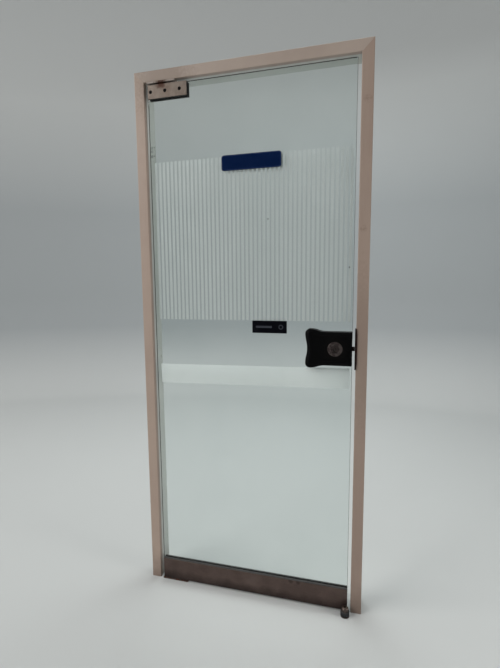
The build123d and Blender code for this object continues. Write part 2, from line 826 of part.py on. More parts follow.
with BuildPart() as rail_gaskets:
    for side in (-1, 1):
        with BuildSketch(Plane.YZ.offset(fitting_left)):
            with BuildLine():
                Polyline(
                    (side * glass_half, rail_top - gasket_grip),
                    (side * (slot_half - seat_play), rail_top - gasket_grip),
                    (side * (slot_half - seat_play), rail_top),
                    (side * (body_half - gasket_inset), rail_top),
                    (side * (body_half - gasket_inset), rail_top + gasket_edge),
                    (side * slot_half, rail_top + gasket_lip),
                    (side * glass_half, rail_top + gasket_lip),
                    close=True,
                )
            make_face()
        extrude(amount=latch_edge - fitting_left)
rail_gaskets.part.label = "rail_gaskets"
export_step(rail_gaskets.part, "parts/rail_gaskets.step")

with BuildPart() as setting_blocks:
    with BuildSketch(Plane.XY.offset(slot_floor)):
        with Locations((hinge_edge + setting_reach, 0), (latch_edge - setting_reach, 0)):
            Rectangle(setting_length, glass_thickness)
    extrude(amount=setting_block)
setting_blocks.part.label = "setting_blocks"
export_step(setting_blocks.part, "parts/setting_blocks.step")

# End caps of the rail, with the open slot of the glass, and their four screws
end_cap_places = [
    Plane(origin=(x, s * port_y, port_height), z_dir=(facing, 0, 0))
    for x, facing in ((fitting_left, -1), (latch_edge, 1))
    for s in (-1, 1)
]
with BuildPart() as rail_end_caps:
    for start in (fitting_left, rail_right):
        with BuildSketch(Plane.YZ.offset(start)):
            with Locations((0, rail_middle)):
                Rectangle(2 * face_half, rail_height)
            with Locations((0, slot_floor)):
                Rectangle(2 * slot_half, slot_depth, align=(Align.CENTER, Align.MIN), mode=Mode.SUBTRACT)
        extrude(amount=cap_plate)
    for place in end_cap_places:
        add(flat_seat(place, rail_screw_head, rail_screw_shank, cap_plate), mode=Mode.SUBTRACT)
rail_end_caps.part.label = "rail_end_caps"
export_step(rail_end_caps.part, "parts/rail_end_caps.step")

with BuildPart() as end_cap_screws:
    for place in end_cap_places:
        add(flat_screw(place, rail_screw_head, rail_screw_shank, rail_screw_length))
end_cap_screws.part.label = "end_cap_screws"
export_step(end_cap_screws.part, "parts/end_cap_screws.step")

# Pivot block in the rail's chamber, its bush and its two screws
rail_block_height = chamber_top - rail_block_bottom
block_screw_places = [
    Plane(origin=(s * block_screw_reach, 0, rail_block_bottom), z_dir=(0, 0, -1)) for s in (-1, 1)
]
with BuildPart() as rail_pivot_block:
    with BuildSketch(Plane.XY.offset(rail_block_bottom)):
        Rectangle(2 * rail_block_half, 2 * (chamber_half - rail_block_play))
        Circle(bush_outer + seat_play, mode=Mode.SUBTRACT)
    extrude(amount=rail_block_height)
    for place in block_screw_places:
        add(flat_seat(place, block_screw_head, block_screw_shank, rail_block_height), mode=Mode.SUBTRACT)
rail_pivot_block.part.label = "rail_pivot_block"
export_step(rail_pivot_block.part, "parts/rail_pivot_block.step")

with BuildPart() as block_screws:
    for place in block_screw_places:
        add(flat_screw(place, block_screw_head, block_screw_shank, rail_block_height + rail_web / 2))
block_screws.part.label = "block_screws"
export_step(block_screws.part, "parts/block_screws.step")

with BuildPart() as rail_bush:
    with BuildSketch(Plane.XY.offset(rail_block_bottom)):
        Circle(bush_outer)
        Circle(bush_inner, mode=Mode.SUBTRACT)
    extrude(amount=rail_block_height)
rail_bush.part.label = "rail_bush"
export_step(rail_bush.part, "parts/rail_bush.step")

# Lock case outline: straight along the latch side, flared ears and a hollow end
ear_x = case_left + case_ear_length
ear_y = case_ear_half_height - case_ear_drop
waist_x = case_left + case_waist
with BuildSketch() as case_outline:
    with BuildLine():
        Polyline(
            (case_right + case_bevel_run, 0),
            (case_right + case_bevel_run, case_half_height),
            (waist_x, case_half_height),
        )
        flare_middle = ((waist_x + ear_x) / 2, (case_half_height + case_ear_half_height) / 2)
        flare = TangentArc((waist_x, case_half_height), flare_middle, tangent=(-1, 0))
        TangentArc(flare @ 1, (ear_x, case_ear_half_height), tangent=flare % 1)
        TangentArc((ear_x, case_ear_half_height), (case_left, ear_y), tangent=(-1, 0))
        hollow = TangentArc((case_left, ear_y), (case_left + case_hollow / 2, ear_y / 2), tangent=(0, -1))
        TangentArc(hollow @ 1, (case_left + case_hollow, 0), tangent=hollow % 1)
        mirror(about=Plane.XZ)
    make_face()

with BuildSketch() as case_back:
    add(case_outline.sketch)
    with Locations((case_right, 0)):
        Rectangle(
            2 * case_bevel_run, 3 * case_half_height, align=(Align.MIN, Align.CENTER), mode=Mode.SUBTRACT
        )

with BuildSketch() as case_hollow_shape:
    add(case_back.sketch)
    offset(amount=-case_wall, mode=Mode.REPLACE)
    with Locations(*lock_screw_spots):
        Circle(boss_radius, mode=Mode.SUBTRACT)

with BuildSketch() as case_rim:
    rim_outer = offset(case_outline.sketch, amount=-(case_bevel_run + case_rim_inset))
    offset(rim_outer, amount=-case_rim_width, mode=Mode.SUBTRACT)

with BuildSketch() as gasket_shape:
    add(case_back.sketch)
    offset(case_back.sketch, amount=-gasket_width, mode=Mode.SUBTRACT)
    with Locations((latch_edge, 0)):
        Rectangle(2 * (latch_edge - lock_notch_left), 2 * lock_notch_half, mode=Mode.SUBTRACT)

for side, name in ((1, "lock_front_case"), (-1, "lock_rear_case")):
    with BuildPart() as lock_case:
        with BuildSketch(lock_plane.offset(side * case_inner)):
            add(case_outline.sketch)
        extrude(amount=side * case_depth)
        flat = lock_case.faces().filter_by(Axis.Y).sort_by(Axis.Y)[0 if side == 1 else -1]
        chamfer(flat.outer_wire().edges(), length=case_bevel_run, length2=case_bevel_depth, reference=flat)
        with BuildSketch(lock_plane.offset(side * case_face)):
            add(case_rim.sketch)
        extrude(amount=side * case_rim_rise)
        split(bisect_by=Plane.YZ.offset(case_right), keep=Keep.BOTTOM)
        # Open the back, leaving a wall and four screw bosses
        with BuildSketch(lock_plane.offset(side * case_inner)):
            add(case_hollow_shape.sketch)
        extrude(amount=side * case_cavity, mode=Mode.SUBTRACT)
        # Opening in the latch end for the lock body
        body_reach = body_front if side == 1 else cavity_half + lid_thickness
        with BuildSketch(lock_plane.offset(side * case_inner)):
            with Locations((case_right, 0)):
                Rectangle(4 * case_wall, 2 * (body_half_height + seat_play))
        extrude(amount=side * (body_reach + seat_play - case_inner), mode=Mode.SUBTRACT)
        with BuildSketch(lock_plane):
            with Locations((spindle_x, 0)):
                Circle(cylinder_radius + seat_play if side == 1 else turn_flange)
        extrude(amount=side * case_face, mode=Mode.SUBTRACT)
        if side == 1:
            with BuildSketch(lock_plane):
                with Locations(*lock_screw_spots):
                    Circle(lock_screw_shank + seat_play)
            extrude(amount=case_inner + case_cavity, mode=Mode.SUBTRACT)
            # Grip grooves beside the latch edge
            with BuildSketch(lock_plane.offset(case_face)):
                with Locations((case_right - rib_inset, 0)):
                    with GridLocations(rib_pitch, 1, rib_count, 1):
                        SlotOverall(2 * rib_half_height, rib_width, rotation=90)
            extrude(amount=-rib_depth, mode=Mode.SUBTRACT)
        else:
            for x, rise in lock_screw_spots:
                place = Plane(origin=(x, case_face, lock_height + rise), x_dir=(1, 0, 0), z_dir=(0, 1, 0))
                add(flat_seat(place, lock_screw_head, lock_screw_shank, case_depth), mode=Mode.SUBTRACT)
    lock_case.part.label = name
    export_step(lock_case.part, "parts/" + name + ".step")

with BuildPart() as lock_gaskets:
    for side in (1, -1):
        with BuildSketch(lock_plane.offset(side * glass_half)):
            add(gasket_shape.sketch)
        extrude(amount=side * case_gasket)
lock_gaskets.part.label = "lock_gaskets"
export_step(lock_gaskets.part, "parts/lock_gaskets.step")

with BuildPart() as lock_screws:
    for x, rise in lock_screw_spots:
        place = Plane(origin=(x, case_face, lock_height + rise), x_dir=(1, 0, 0), z_dir=(0, 1, 0))
        add(flat_screw(place, lock_screw_head, lock_screw_shank, lock_screw_length))
lock_screws.part.label = "lock_screws"
export_step(lock_screws.part, "parts/lock_screws.step")

# Lock body: a tray in the notch of the glass that guides the bolt, and its lid
body_middle = (lock_body_left + lock_body_right) / 2
with BuildPart() as lock_body:
    with BuildSketch(lock_plane.offset(-cavity_half)):
        with Locations((body_middle, 0)):
            Rectangle(body_length, 2 * body_half_height)
    extrude(amount=cavity_half + body_front)
    with BuildSketch(lock_plane.offset(-cavity_half)):
        with Locations((body_middle, 0)):
            Rectangle(body_length - 2 * body_wall, 2 * (body_half_height - body_wall))
    extrude(amount=2 * cavity_half, mode=Mode.SUBTRACT)
    with BuildSketch(lock_plane.offset(-cavity_half)):
        with Locations((lock_body_right, 0)):
            Rectangle(2 * body_wall, bolt_height + 2 * slide_play)
    extrude(amount=2 * cavity_half, mode=Mode.SUBTRACT)
    with BuildSketch(lock_plane):
        with Locations((spindle_x, 0)):
            Circle(hub_radius + pivot_play)
    extrude(amount=body_front, mode=Mode.SUBTRACT)
lock_body.part.label = "lock_body"
export_step(lock_body.part, "parts/lock_body.step")

with BuildPart() as lock_body_lid:
    with BuildSketch(lock_plane.offset(-cavity_half)):
        with Locations((body_middle, 0)):
            Rectangle(body_length, 2 * body_half_height)
        with Locations((spindle_x, 0)):
            Circle(hub_radius + pivot_play, mode=Mode.SUBTRACT)
    extrude(amount=-lid_thickness)
lock_body_lid.part.label = "lock_body_lid"
export_step(lock_body_lid.part, "parts/lock_body_lid.step")

# Cylinder: a round body through the front case, with a rosette round it
with BuildPart() as lock_cylinder:
    with BuildSketch(lock_plane.offset(body_front)):
        with Locations((spindle_x, 0)):
            Circle(cylinder_radius)
            Circle(plug_radius + pivot_play, mode=Mode.SUBTRACT)
    extrude(amount=cylinder_face - body_front)
lock_cylinder.part.label = "lock_cylinder"
export_step(lock_cylinder.part, "parts/lock_cylinder.step")

with BuildPart() as cylinder_rosette:
    with BuildSketch(lock_plane.offset(case_face)):
        with Locations((spindle_x, 0)):
            Circle(rosette_radius)
            Circle(cylinder_radius + seat_play, mode=Mode.SUBTRACT)
    extrude(amount=rosette_height)
    fillet(cylinder_rosette.faces().sort_by(Axis.Y)[0].edges(), radius=rosette_round)
cylinder_rosette.part.label = "cylinder_rosette"
export_step(cylinder_rosette.part, "parts/cylinder_rosette.step")

with BuildPart() as turn_rosette:
    with BuildSketch(lock_plane.offset(-case_face)):
        with Locations((spindle_x, 0)):
            Circle(turn_rosette_radius)
            Circle(turn_flange + slide_play, mode=Mode.SUBTRACT)
    extrude(amount=-turn_rosette_height)
    fillet(turn_rosette.faces().sort_by(Axis.Y)[-1].outer_wire().edges(), radius=turn_rosette_round)
turn_rosette.part.label = "turn_rosette"
export_step(turn_rosette.part, "parts/turn_rosette.step")

# Bolt: a flat bar whose wide tail has a window for the spindle and a notch for the cam
window_reach = bolt_throw + hub_radius + hub_slack
cam_notch_top = cam_reach + cam_tip + cam_tip_slack
tail_left = spindle_x - window_reach - tail_margin
tail_right = spindle_x + window_reach + tail_margin
with BuildPart() as bolt:
    with BuildSketch(lock_plane.offset(-bolt_thickness / 2)):
        with Locations((tail_right, 0)):
            Rectangle(bolt_tip - tail_right, bolt_height, align=(Align.MIN, Align.CENTER))
        with Locations((tail_left, -tail_below)):
            Rectangle(tail_right - tail_left, tail_below + cam_notch_top + tail_margin, align=Align.MIN)
        with Locations((spindle_x - window_reach, -(hub_radius + hub_slack))):
            Rectangle(
                2 * window_reach, hub_radius + hub_slack + window_rise, align=Align.MIN, mode=Mode.SUBTRACT
            )
        with Locations((spindle_x, 0)):
            Rectangle(
                2 * (cam_tip + cam_tip_slack), cam_notch_top,
                align=(Align.CENTER, Align.MIN), mode=Mode.SUBTRACT,
            )
    extrude(amount=bolt_thickness)
    chamfer(bolt.faces().sort_by(Axis.X)[-1].edges(), length=bolt_edge)
bolt.part.label = "bolt"
export_step(bolt.part, "parts/bolt.step")

# Spindle: key plug in front, cam on its hub in the middle, thumb turn on the room side
hub_front = body_front
hub_rear = cavity_half + lid_thickness
cam_half = bolt_thickness / 2 - cam_play
plug_back = body_front + cam_play
with BuildPart() as key_plug:
    with BuildSketch(lock_plane.offset(plug_back)):
        with Locations((spindle_x, 0)):
            Circle(plug_radius)
    extrude(amount=cylinder_face - plug_back)
    with BuildSketch(lock_plane.offset(plug_back)):
        with Locations((spindle_x, 0)):
            Circle(tail_radius)
    extrude(amount=-tail_depth)
    with BuildSketch(lock_plane.offset(cylinder_face)):
        with Locations((spindle_x, 0)):
            SlotOverall(keyway_height, keyway_width, rotation=90)
    extrude(amount=-keyway_depth, mode=Mode.SUBTRACT)
key_plug.part.label = "key_plug"
export_step(key_plug.part, "parts/key_plug.step")

with BuildPart() as bolt_cam:
    with BuildSketch(lock_plane.offset(-hub_rear)):
        with Locations((spindle_x, 0)):
            Circle(hub_radius)
    extrude(amount=hub_front + hub_rear)
    with BuildSketch(lock_plane.offset(-cam_half)):
        with Locations((spindle_x, 0)):
            Rectangle(2 * cam_arm, cam_reach, align=(Align.CENTER, Align.MIN))
        with Locations((spindle_x, cam_reach)):
            Circle(cam_tip)
    extrude(amount=2 * cam_half)
    with BuildSketch(lock_plane.offset(hub_front)):
        with Locations((spindle_x, 0)):
            Circle(tail_radius + seat_play)
    extrude(amount=-(tail_depth + cam_play), mode=Mode.SUBTRACT)
    with BuildSketch(lock_plane.offset(-hub_rear)):
        with Locations((spindle_x, 0)):
            Circle(turn_shaft + seat_play)
    extrude(amount=tail_depth, mode=Mode.SUBTRACT)
bolt_cam.part.label = "bolt_cam"
export_step(bolt_cam.part, "parts/bolt_cam.step")

turn_base = case_face + slide_play
with BuildPart() as thumb_turn:
    with BuildSketch(lock_plane.offset(-(hub_rear - tail_depth + seat_play))):
        with Locations((spindle_x, 0)):
            Circle(turn_shaft)
    extrude(amount=-(turn_base - hub_rear + tail_depth - seat_play))
    with BuildSketch(lock_plane.offset(-turn_base)):
        with Locations((spindle_x, 0)):
            Circle(turn_flange)
    extrude(amount=-turn_flange_height)
    with BuildSketch(lock_plane.offset(-(turn_base + turn_flange_height))):
        with Locations((spindle_x, 0)):
            SlotOverall(turn_length, turn_width, rotation=90)
    extrude(amount=-turn_height)
    fillet(thumb_turn.faces().sort_by(Axis.Y)[-1].edges(), radius=turn_round)
thumb_turn.part.label = "thumb_turn"
export_step(thumb_turn.part, "parts/thumb_turn.step")

print("stripes", stripe_count, "cam reach", round(cam_reach, 3), "bolt tip", bolt_tip)
print("frame", frame_left, "to", frame_right, "by", frame_top, "high")
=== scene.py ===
# %% [markdown]
# A glass entrance door, dressed for its portrait.
# The real door is a sheet of toughened glass held by a clamp at the top corner and a metal rail along
# the bottom. It turns on two pivots inside a painted steel frame. All of these parts exist already as a
# solid model, so this lesson gives them their finishes, adds a few thin printed and painted details,
# and sets up the studio, the lights and the camera.

# %% Load the door
import math

import bmesh
import bpy
import numpy as np
from mathutils import Matrix, Vector


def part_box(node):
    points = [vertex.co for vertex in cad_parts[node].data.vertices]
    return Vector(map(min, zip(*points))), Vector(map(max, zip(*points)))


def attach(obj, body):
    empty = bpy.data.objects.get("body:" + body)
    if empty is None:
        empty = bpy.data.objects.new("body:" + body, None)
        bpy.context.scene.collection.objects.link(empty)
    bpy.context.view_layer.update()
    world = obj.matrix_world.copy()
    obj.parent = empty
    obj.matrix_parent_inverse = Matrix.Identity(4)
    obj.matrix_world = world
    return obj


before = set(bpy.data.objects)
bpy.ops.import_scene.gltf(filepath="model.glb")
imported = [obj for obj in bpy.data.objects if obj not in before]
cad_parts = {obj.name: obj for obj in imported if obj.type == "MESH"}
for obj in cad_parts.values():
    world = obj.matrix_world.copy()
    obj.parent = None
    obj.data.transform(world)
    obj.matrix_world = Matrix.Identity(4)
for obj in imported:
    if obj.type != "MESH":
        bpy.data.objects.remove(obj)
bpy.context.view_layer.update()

# %% [markdown]
# The places below are read from the solid model: the corners of a part's box say where its faces are.
# Typing the numbers in would be shorter, but reading them keeps the details seated on their parts when
# the door's sizes change. Only the gap over the glass is typed. All lengths are in metres.

# %% Places read from the model
glass_low, glass_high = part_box("glass_pane")
jamb_low, jamb_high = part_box("hinge_jamb")
latch_low, latch_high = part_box("latch_jamb")
head_low, head_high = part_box("frame_head")
name_low, name_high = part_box("name_plate")
push_low, push_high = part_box("push_sign")
rail_low, rail_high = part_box("rail_front_cover")
patch_low, patch_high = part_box("patch_front_cover")
case_low, case_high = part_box("lock_front_case")
rosette_low, rosette_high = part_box("cylinder_rosette")
pin_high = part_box("top_pivot_pin")[1]
head_gap = 0.012
opening_left = jamb_high.x
opening_right = latch_low.x
opening_top = glass_high.z + head_gap
lock_centre = (rosette_low + rosette_high) / 2
print("glass", round(glass_high.x - glass_low.x, 4), "by", round(glass_high.z - glass_low.z, 4), "m")
print("lock centre", [round(value, 4) for value in lock_centre])

# %% [markdown]
# Colours are easiest to judge as they look on a screen, from 0 to 255, but a shader works in linear
# light. This helper turns the one into the other with the usual sRGB curve.

# %% Colours
def screen(red, green, blue):
    """Linear colour of a screen colour: c / 12.92 when dark, ((c + 0.055) / 1.055) ** 2.4 otherwise."""
    c = np.array([red, green, blue]) / 255.0
    linear = np.where(c <= 0.04045, c / 12.92, ((c + 0.055) / 1.055) ** 2.4)
    return (*linear.tolist(), 1.0)


print("mid grey on screen is", round(screen(128, 128, 128)[0], 3), "in light")

# %% [markdown]
# Materials are node trees. Typing every node and every link by name makes long code, so a small class
# does both: a value given to an input is set there, and a socket given to an input is linked to it.

# %% A short way to wire nodes
class Wiring:
    """Places nodes in one tree and joins them."""

    def __init__(self, tree):
        self.tree = tree

    def put(self, kind, inputs=None, **settings):
        """Adds a node, sets its own settings, then sets or links its inputs."""
        node = self.tree.nodes.new(kind)
        for key, value in settings.items():
            setattr(node, key, value)
        for key, value in (inputs or {}).items():
            self.give(node, key, value)
        return node

    def give(self, node, key, value):
        """Links a socket to an input, or sets the input's own value."""
        if isinstance(value, bpy.types.NodeSocket):
            self.tree.links.new(value, node.inputs[key])
        else:
            node.inputs[key].default_value = value

    def math(self, operation, first, second=0.0):
        """One step of arithmetic."""
        return self.put("ShaderNodeMath", {0: first, 1: second}, operation=operation).outputs[0]

    def fit(self, value, low, high, to_low=0.0, to_high=1.0):
        """Value carried from low..high to to_low..to_high, and held at both ends."""
        inputs = {"Value": value, "From Min": low, "From Max": high, "To Min": to_low, "To Max": to_high}
        return self.put("ShaderNodeMapRange", inputs, clamp=True).outputs["Result"]

    def blend(self, amount, first, second):
        """Colour mix: first where amount is 0, second where it is 1."""
        return self.put("ShaderNodeMix", {0: amount, 6: first, 7: second}, data_type="RGBA").outputs[2]

    def axes(self, vector):
        """The X, Y and Z of a vector, by name."""
        return self.put("ShaderNodeSeparateXYZ", {"Vector": vector}).outputs

    def noise(self, place, scale, detail=3.0, roughness=0.55):
        """Cloudy noise between 0 and 1."""
        inputs = {"Vector": place, "Scale": scale, "Detail": detail, "Roughness": roughness}
        return self.put("ShaderNodeTexNoise", inputs).outputs["Fac"]

    def stretch(self, place, x, y, z):
        """The place with each axis multiplied, which draws a pattern out along the axis that is small."""
        return self.put("ShaderNodeMapping", {"Vector": place, "Scale": (x, y, z)}).outputs["Vector"]

    def bump(self, height, strength, distance):
        """A normal bent by a height."""
        inputs = {"Height": height, "Strength": strength, "Distance": distance}
        return self.put("ShaderNodeBump", inputs).outputs["Normal"]


print("wiring ready")

# %% [markdown]
# The same kinds of wear come back on many finishes: cloudy stains, brush lines, hair scratches, dust
# that falls on ledges, dirt that gathers near the floor, and a round spot round a pin or a lock. The mask
# near the floor also lays painted shade at the foot of the rail, and a round spot lays painted shadow
# round the top pivot.
# The nodes could be copied into every material, but then a better scratch has to be made many times.
# So each effect becomes a node group that is built once, and a material places it with its own numbers.

# %% A group that puts out one mask
def effect(name, build, **inputs):
    """A node group with one output, Mask; build gets the wiring and the group's own input sockets."""
    group = bpy.data.node_groups.new(name, "ShaderNodeTree")
    for key, value in {"Place": (0.0, 0.0, 0.0), **inputs}.items():
        kind = "NodeSocketVector" if isinstance(value, tuple) else "NodeSocketFloat"
        group.interface.new_socket(key, in_out="INPUT", socket_type=kind).default_value = value
    group.interface.new_socket("Mask", in_out="OUTPUT", socket_type="NodeSocketFloat")
    wiring = Wiring(group)
    start = wiring.put("NodeGroupInput")
    end = wiring.put("NodeGroupOutput")
    group.links.new(build(wiring, start.outputs), end.inputs["Mask"])
    print("effect", name, list(inputs))
    return group


# %% [markdown]
# Three of the effects are noise alone. A stain is cloudy noise cut off at two levels. Brush lines are the
# same noise on a place that the material has drawn out. Hair scratches are the thin walls between the
# cells of a bent Voronoi pattern, because such walls are long, thin and slightly bent, as scratches are.

# %% Stains, brush lines and hair scratches
def build_stain(w, given):
    """Cloudy noise cut at Low and High, so that it covers only part of the surface."""
    cloud = w.noise(given["Place"], given["Scale"], detail=5.0, roughness=0.6)
    return w.fit(cloud, given["Low"], given["High"])


def build_brush(w, given):
    """Noise on a place that the material has drawn out, so that it reads as lines."""
    lines = w.noise(given["Place"], given["Scale"], detail=4.0, roughness=0.7)
    return w.fit(lines, 0.3, 0.7)


def build_hairs(w, given):
    """Walls between Voronoi cells, Width wide, on a place bent by noise and kept only in patches."""
    bend = w.noise(given["Place"], 6.0, detail=2.0)
    bent = w.put("ShaderNodeVectorMath", {0: given["Place"], 1: bend}, operation="ADD").outputs[0]
    inputs = {"Vector": bent, "Scale": given["Scale"]}
    cells = w.put("ShaderNodeTexVoronoi", inputs, feature="DISTANCE_TO_EDGE")
    thin = w.fit(cells.outputs["Distance"], 0.0, given["Width"], 1.0, 0.0)
    patchy = w.fit(w.noise(given["Place"], 11.0), 0.5, 0.72)
    return w.math("MULTIPLY", thin, patchy)


stain = effect("cloudy_stain", build_stain, Scale=8.0, Low=0.45, High=0.7)
brush = effect("brush_lines", build_brush, Scale=60.0)
hairs = effect("hair_scratches", build_hairs, Scale=30.0, Width=0.012)

# %% [markdown]
# The other three depend on where the surface is. Dust lies on faces that look up, dirt gathers near the
# floor, and a spot sits round one point. The mask near the floor also serves as painted shade at the
# foot of the rail. Noise breaks up all their edges, because a clean edge would look printed.

# %% Ledge dust, floor dirt and painted shade, and round spots
def build_ledge(w, given):
    """The upward part of the object's own normal, from 0 on a wall to 1 on a ledge, times noise."""
    upward = w.axes(w.put("ShaderNodeTexCoord").outputs["Normal"])["Z"]
    patches = w.fit(w.noise(given["Place"], given["Scale"]), 0.3, 0.65, 0.45, 1.0)
    return w.math("MULTIPLY", w.fit(upward, 0.35, 0.95), patches)


def build_low(w, given):
    """Height above Floor in parts of Height, made ragged by noise, turned from 1 below to 0 above."""
    height = w.axes(given["Place"])["Z"]
    ragged = w.math("ADD", height, w.math("MULTIPLY", w.noise(given["Place"], 22.0), given["Height"]))
    share = w.math("DIVIDE", w.math("SUBTRACT", ragged, given["Floor"]), given["Height"])
    return w.fit(share, 0.4, 1.4, 1.0, 0.0)


def build_spot(w, given):
    """Distance from Centre in parts of Radius, made ragged by noise, turned from 1 inside to 0 at 1."""
    inputs = {0: given["Place"], 1: given["Centre"]}
    distance = w.put("ShaderNodeVectorMath", inputs, operation="DISTANCE").outputs["Value"]
    ragged = w.math("MULTIPLY", w.math("SUBTRACT", w.noise(given["Place"], 90.0), 0.5), given["Radius"])
    reach = w.math("DIVIDE", w.math("ADD", distance, ragged), given["Radius"])
    return w.fit(reach, 0.45, 1.0, 1.0, 0.0)


ledge = effect("ledge_dust", build_ledge, Scale=60.0)
low_dirt_and_shade = effect("floor_dirt_and_shade", build_low, Floor=0.0, Height=0.1)
spot = effect("round_spot", build_spot, Centre=(0.0, 0.0, 0.0), Radius=0.02)

# %% [markdown]
# A finish starts as a new material with its shader and the place on the object. Numbers that are the
# same all over go straight on the shader. What changes over the surface is wired: colour, roughness
# and a small bump. A worn colour is built up as a painter would: a ground tone first, then one thin
# layer after another, each through its own mask.

# %% Starting a finish
class Finish:
    """A material in the making: its wiring, its shader, and the place and facing of the surface."""

    def __init__(self, name, **plain):
        self.material = bpy.data.materials.new(name)
        self.material.use_nodes = True
        self.wiring = Wiring(self.material.node_tree)
        self.shader = self.material.node_tree.nodes["Principled BSDF"]
        own = self.wiring.put("ShaderNodeTexCoord").outputs
        self.place = own["Object"]
        self.facing = own["Normal"]
        for key, value in plain.items():
            self.shader.inputs[key.replace("_", " ")].default_value = value

    def mask(self, group, **values):
        """Places a shared effect with its own numbers and returns its mask."""
        node = self.wiring.put("ShaderNodeGroup", node_tree=group)
        self.wiring.give(node, "Place", values.pop("Place", self.place))
        for key, value in values.items():
            self.wiring.give(node, key, value)
        return node.outputs["Mask"]

    def layer(self, tone, colour, mask, share=None):
        """Lays a screen colour over a tone where the mask is, or over only a share of it."""
        amount = mask if share is None else self.wiring.math("MULTIPLY", mask, share)
        return self.wiring.blend(amount, tone, screen(*colour))

    def wire(self, **sockets):
        """Links what changes over the surface to the shader."""
        for key, socket in sockets.items():
            self.wiring.give(self.shader, key.replace("_", " "), socket)
        return self.material

    def grained(self, pattern, rough, bump, **sockets):
        """Wires one fine pattern to roughness (low, high) and to bump (strength, distance)."""
        roughness = self.wiring.fit(pattern, 0.3, 0.7, *rough)
        normal = self.wiring.bump(pattern, *bump)
        return self.wire(Roughness=roughness, Normal=normal, **sockets)


print("finishes can start")

# %% [markdown]
# The solid parts come in from the model, and their shapes are never touched here. Each keeps its mesh
# and only gets a new material in every one of its slots. A list of what is dressed makes it easy to see
# at the end whether a part was forgotten.

# %% Dressing parts
dressed = {}


def dress(material, *names):
    """Gives a finish to parts of the solid model, by name."""
    for name in names:
        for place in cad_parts[name].material_slots:
            place.material = material
        dressed[name] = material.name
    print(material.name, "on", ", ".join(names))


# %% [markdown]
# The frame is steel tube, sprayed in a warm stone colour on the side that faces out. Use lies on the
# paint in layers: soft clouds where it has faded, streaks where it was wiped, a greyer rub beside the
# lock, two small smudges on the latch jamb, grime near the floor and fine scratches. A brown patch round
# the top pivot is painted shadow, the shade of the pivot plate and clamp on the head. An image of old
# paint could be stretched over the tubes instead, but it would blur close up and show its seams.

# %% Wear and painted shadow on the frame's paint
smudges = ((0.024, 1.956, 0.017), (0.018, 1.514, 0.015))


def worn_and_shaded_paint(f, fresh, aged, near_floor):
    """Stone paint under its wear and a painted shadow at the pivot; each smudge is (distance from the
    opening, height, radius).
    """
    w = f.wiring
    tone = f.layer(screen(*fresh), aged, f.mask(stain, Scale=2.3, Low=0.35, High=0.7))
    streaks = f.mask(stain, Place=w.stretch(f.place, 9.0, 9.0, 0.8), Scale=2.0, Low=0.5, High=0.8)
    tone = f.layer(tone, (180, 164, 151), streaks, 0.35)
    rubbed = f.mask(spot, Centre=(opening_right, latch_low.y, lock_centre.z), Radius=0.34)
    tone = f.layer(tone, (134, 119, 108), rubbed, 0.35)
    for across, height, radius in smudges:
        smudge = f.mask(spot, Centre=(opening_right + across, latch_low.y, height), Radius=radius)
        patchy = w.math("MULTIPLY", smudge, f.mask(stain, Scale=110.0, Low=0.4, High=0.62))
        tone = f.layer(tone, (112, 94, 84), patchy, 0.4)
    # Painted shadow: a dark brown patch round the top pivot stands for the shade of the pivot plate and
    # clamp.
    pivot_shadow = f.mask(spot, Centre=(0.0, latch_low.y, opening_top), Radius=0.16)
    tone = f.layer(tone, (128, 110, 96), pivot_shadow, 0.45)
    tone = f.layer(tone, (104, 88, 78), near_floor, 0.65)
    return f.layer(tone, (120, 104, 92), f.mask(hairs, Scale=14.0, Width=0.006), 0.4)


print("smudges on the paint:", len(smudges))

# %% [markdown]
# On the inner side the frame is painted pale, and the two paints meet in a slightly ragged line behind
# the closed pane. Two materials on one part would need its mesh cut along that line. A single material
# that asks how deep each point lies needs no cut. Sprayed paint has a fine orange-peel bump. The three
# members share one paint, but each gets its own tones as painted light: the hinge jamb a lighter, lit
# copy, the latch jamb a darker, shaded copy, and the head a lighter, greyer lit copy.

# %% Painted frame
meet_start, meet_end = 0.006, 0.0072
meet_ragged = 0.0015
grime_height = 0.16


def painted_frame(name, fresh, aged):
    """Stone paint in front of the meeting line and pale paint behind it, under one orange peel."""
    f = Finish(name, Metallic=0.0, Coat_Weight=0.08, Coat_Roughness=0.35)
    w = f.wiring
    near_floor = f.mask(low_dirt_and_shade, Floor=0.0, Height=grime_height)
    stone = worn_and_shaded_paint(f, fresh, aged, near_floor)
    clouds = f.mask(stain, Scale=3.1, Low=0.4, High=0.75)
    pale = f.layer(screen(203, 204, 199), (193, 193, 187), clouds)
    pale = f.layer(pale, (124, 116, 106), near_floor, 0.6)
    depth = w.axes(f.place)["Y"]
    ragged = w.math("ADD", depth, w.math("MULTIPLY", w.noise(f.place, 70.0), meet_ragged))
    tone = w.blend(w.fit(ragged, meet_start, meet_end), stone, pale)
    rough = w.fit(w.noise(f.place, 30.0), 0.3, 0.7, 0.42, 0.6)
    peel = w.noise(f.place, 520.0, detail=2.0)
    roll = w.noise(f.place, 45.0, detail=2.0)
    height = w.math("ADD", w.math("MULTIPLY", peel, 0.35), roll)
    return f.wire(Base_Color=tone, Roughness=rough, Normal=w.bump(height, 0.28, 0.0006))


# One paint in three copies: the latch jamb's darker tones are painted shade, and the lighter tones of the
# hinge jamb and the head are painted light.
dress(painted_frame("stone_paint", (166, 145, 132), (156, 135, 123)), "latch_jamb")
dress(painted_frame("stone_paint_lit", (182, 161, 147), (171, 150, 137)), "hinge_jamb")
dress(painted_frame("stone_paint_head_lit", (178, 162, 151), (166, 149, 138)), "frame_head")

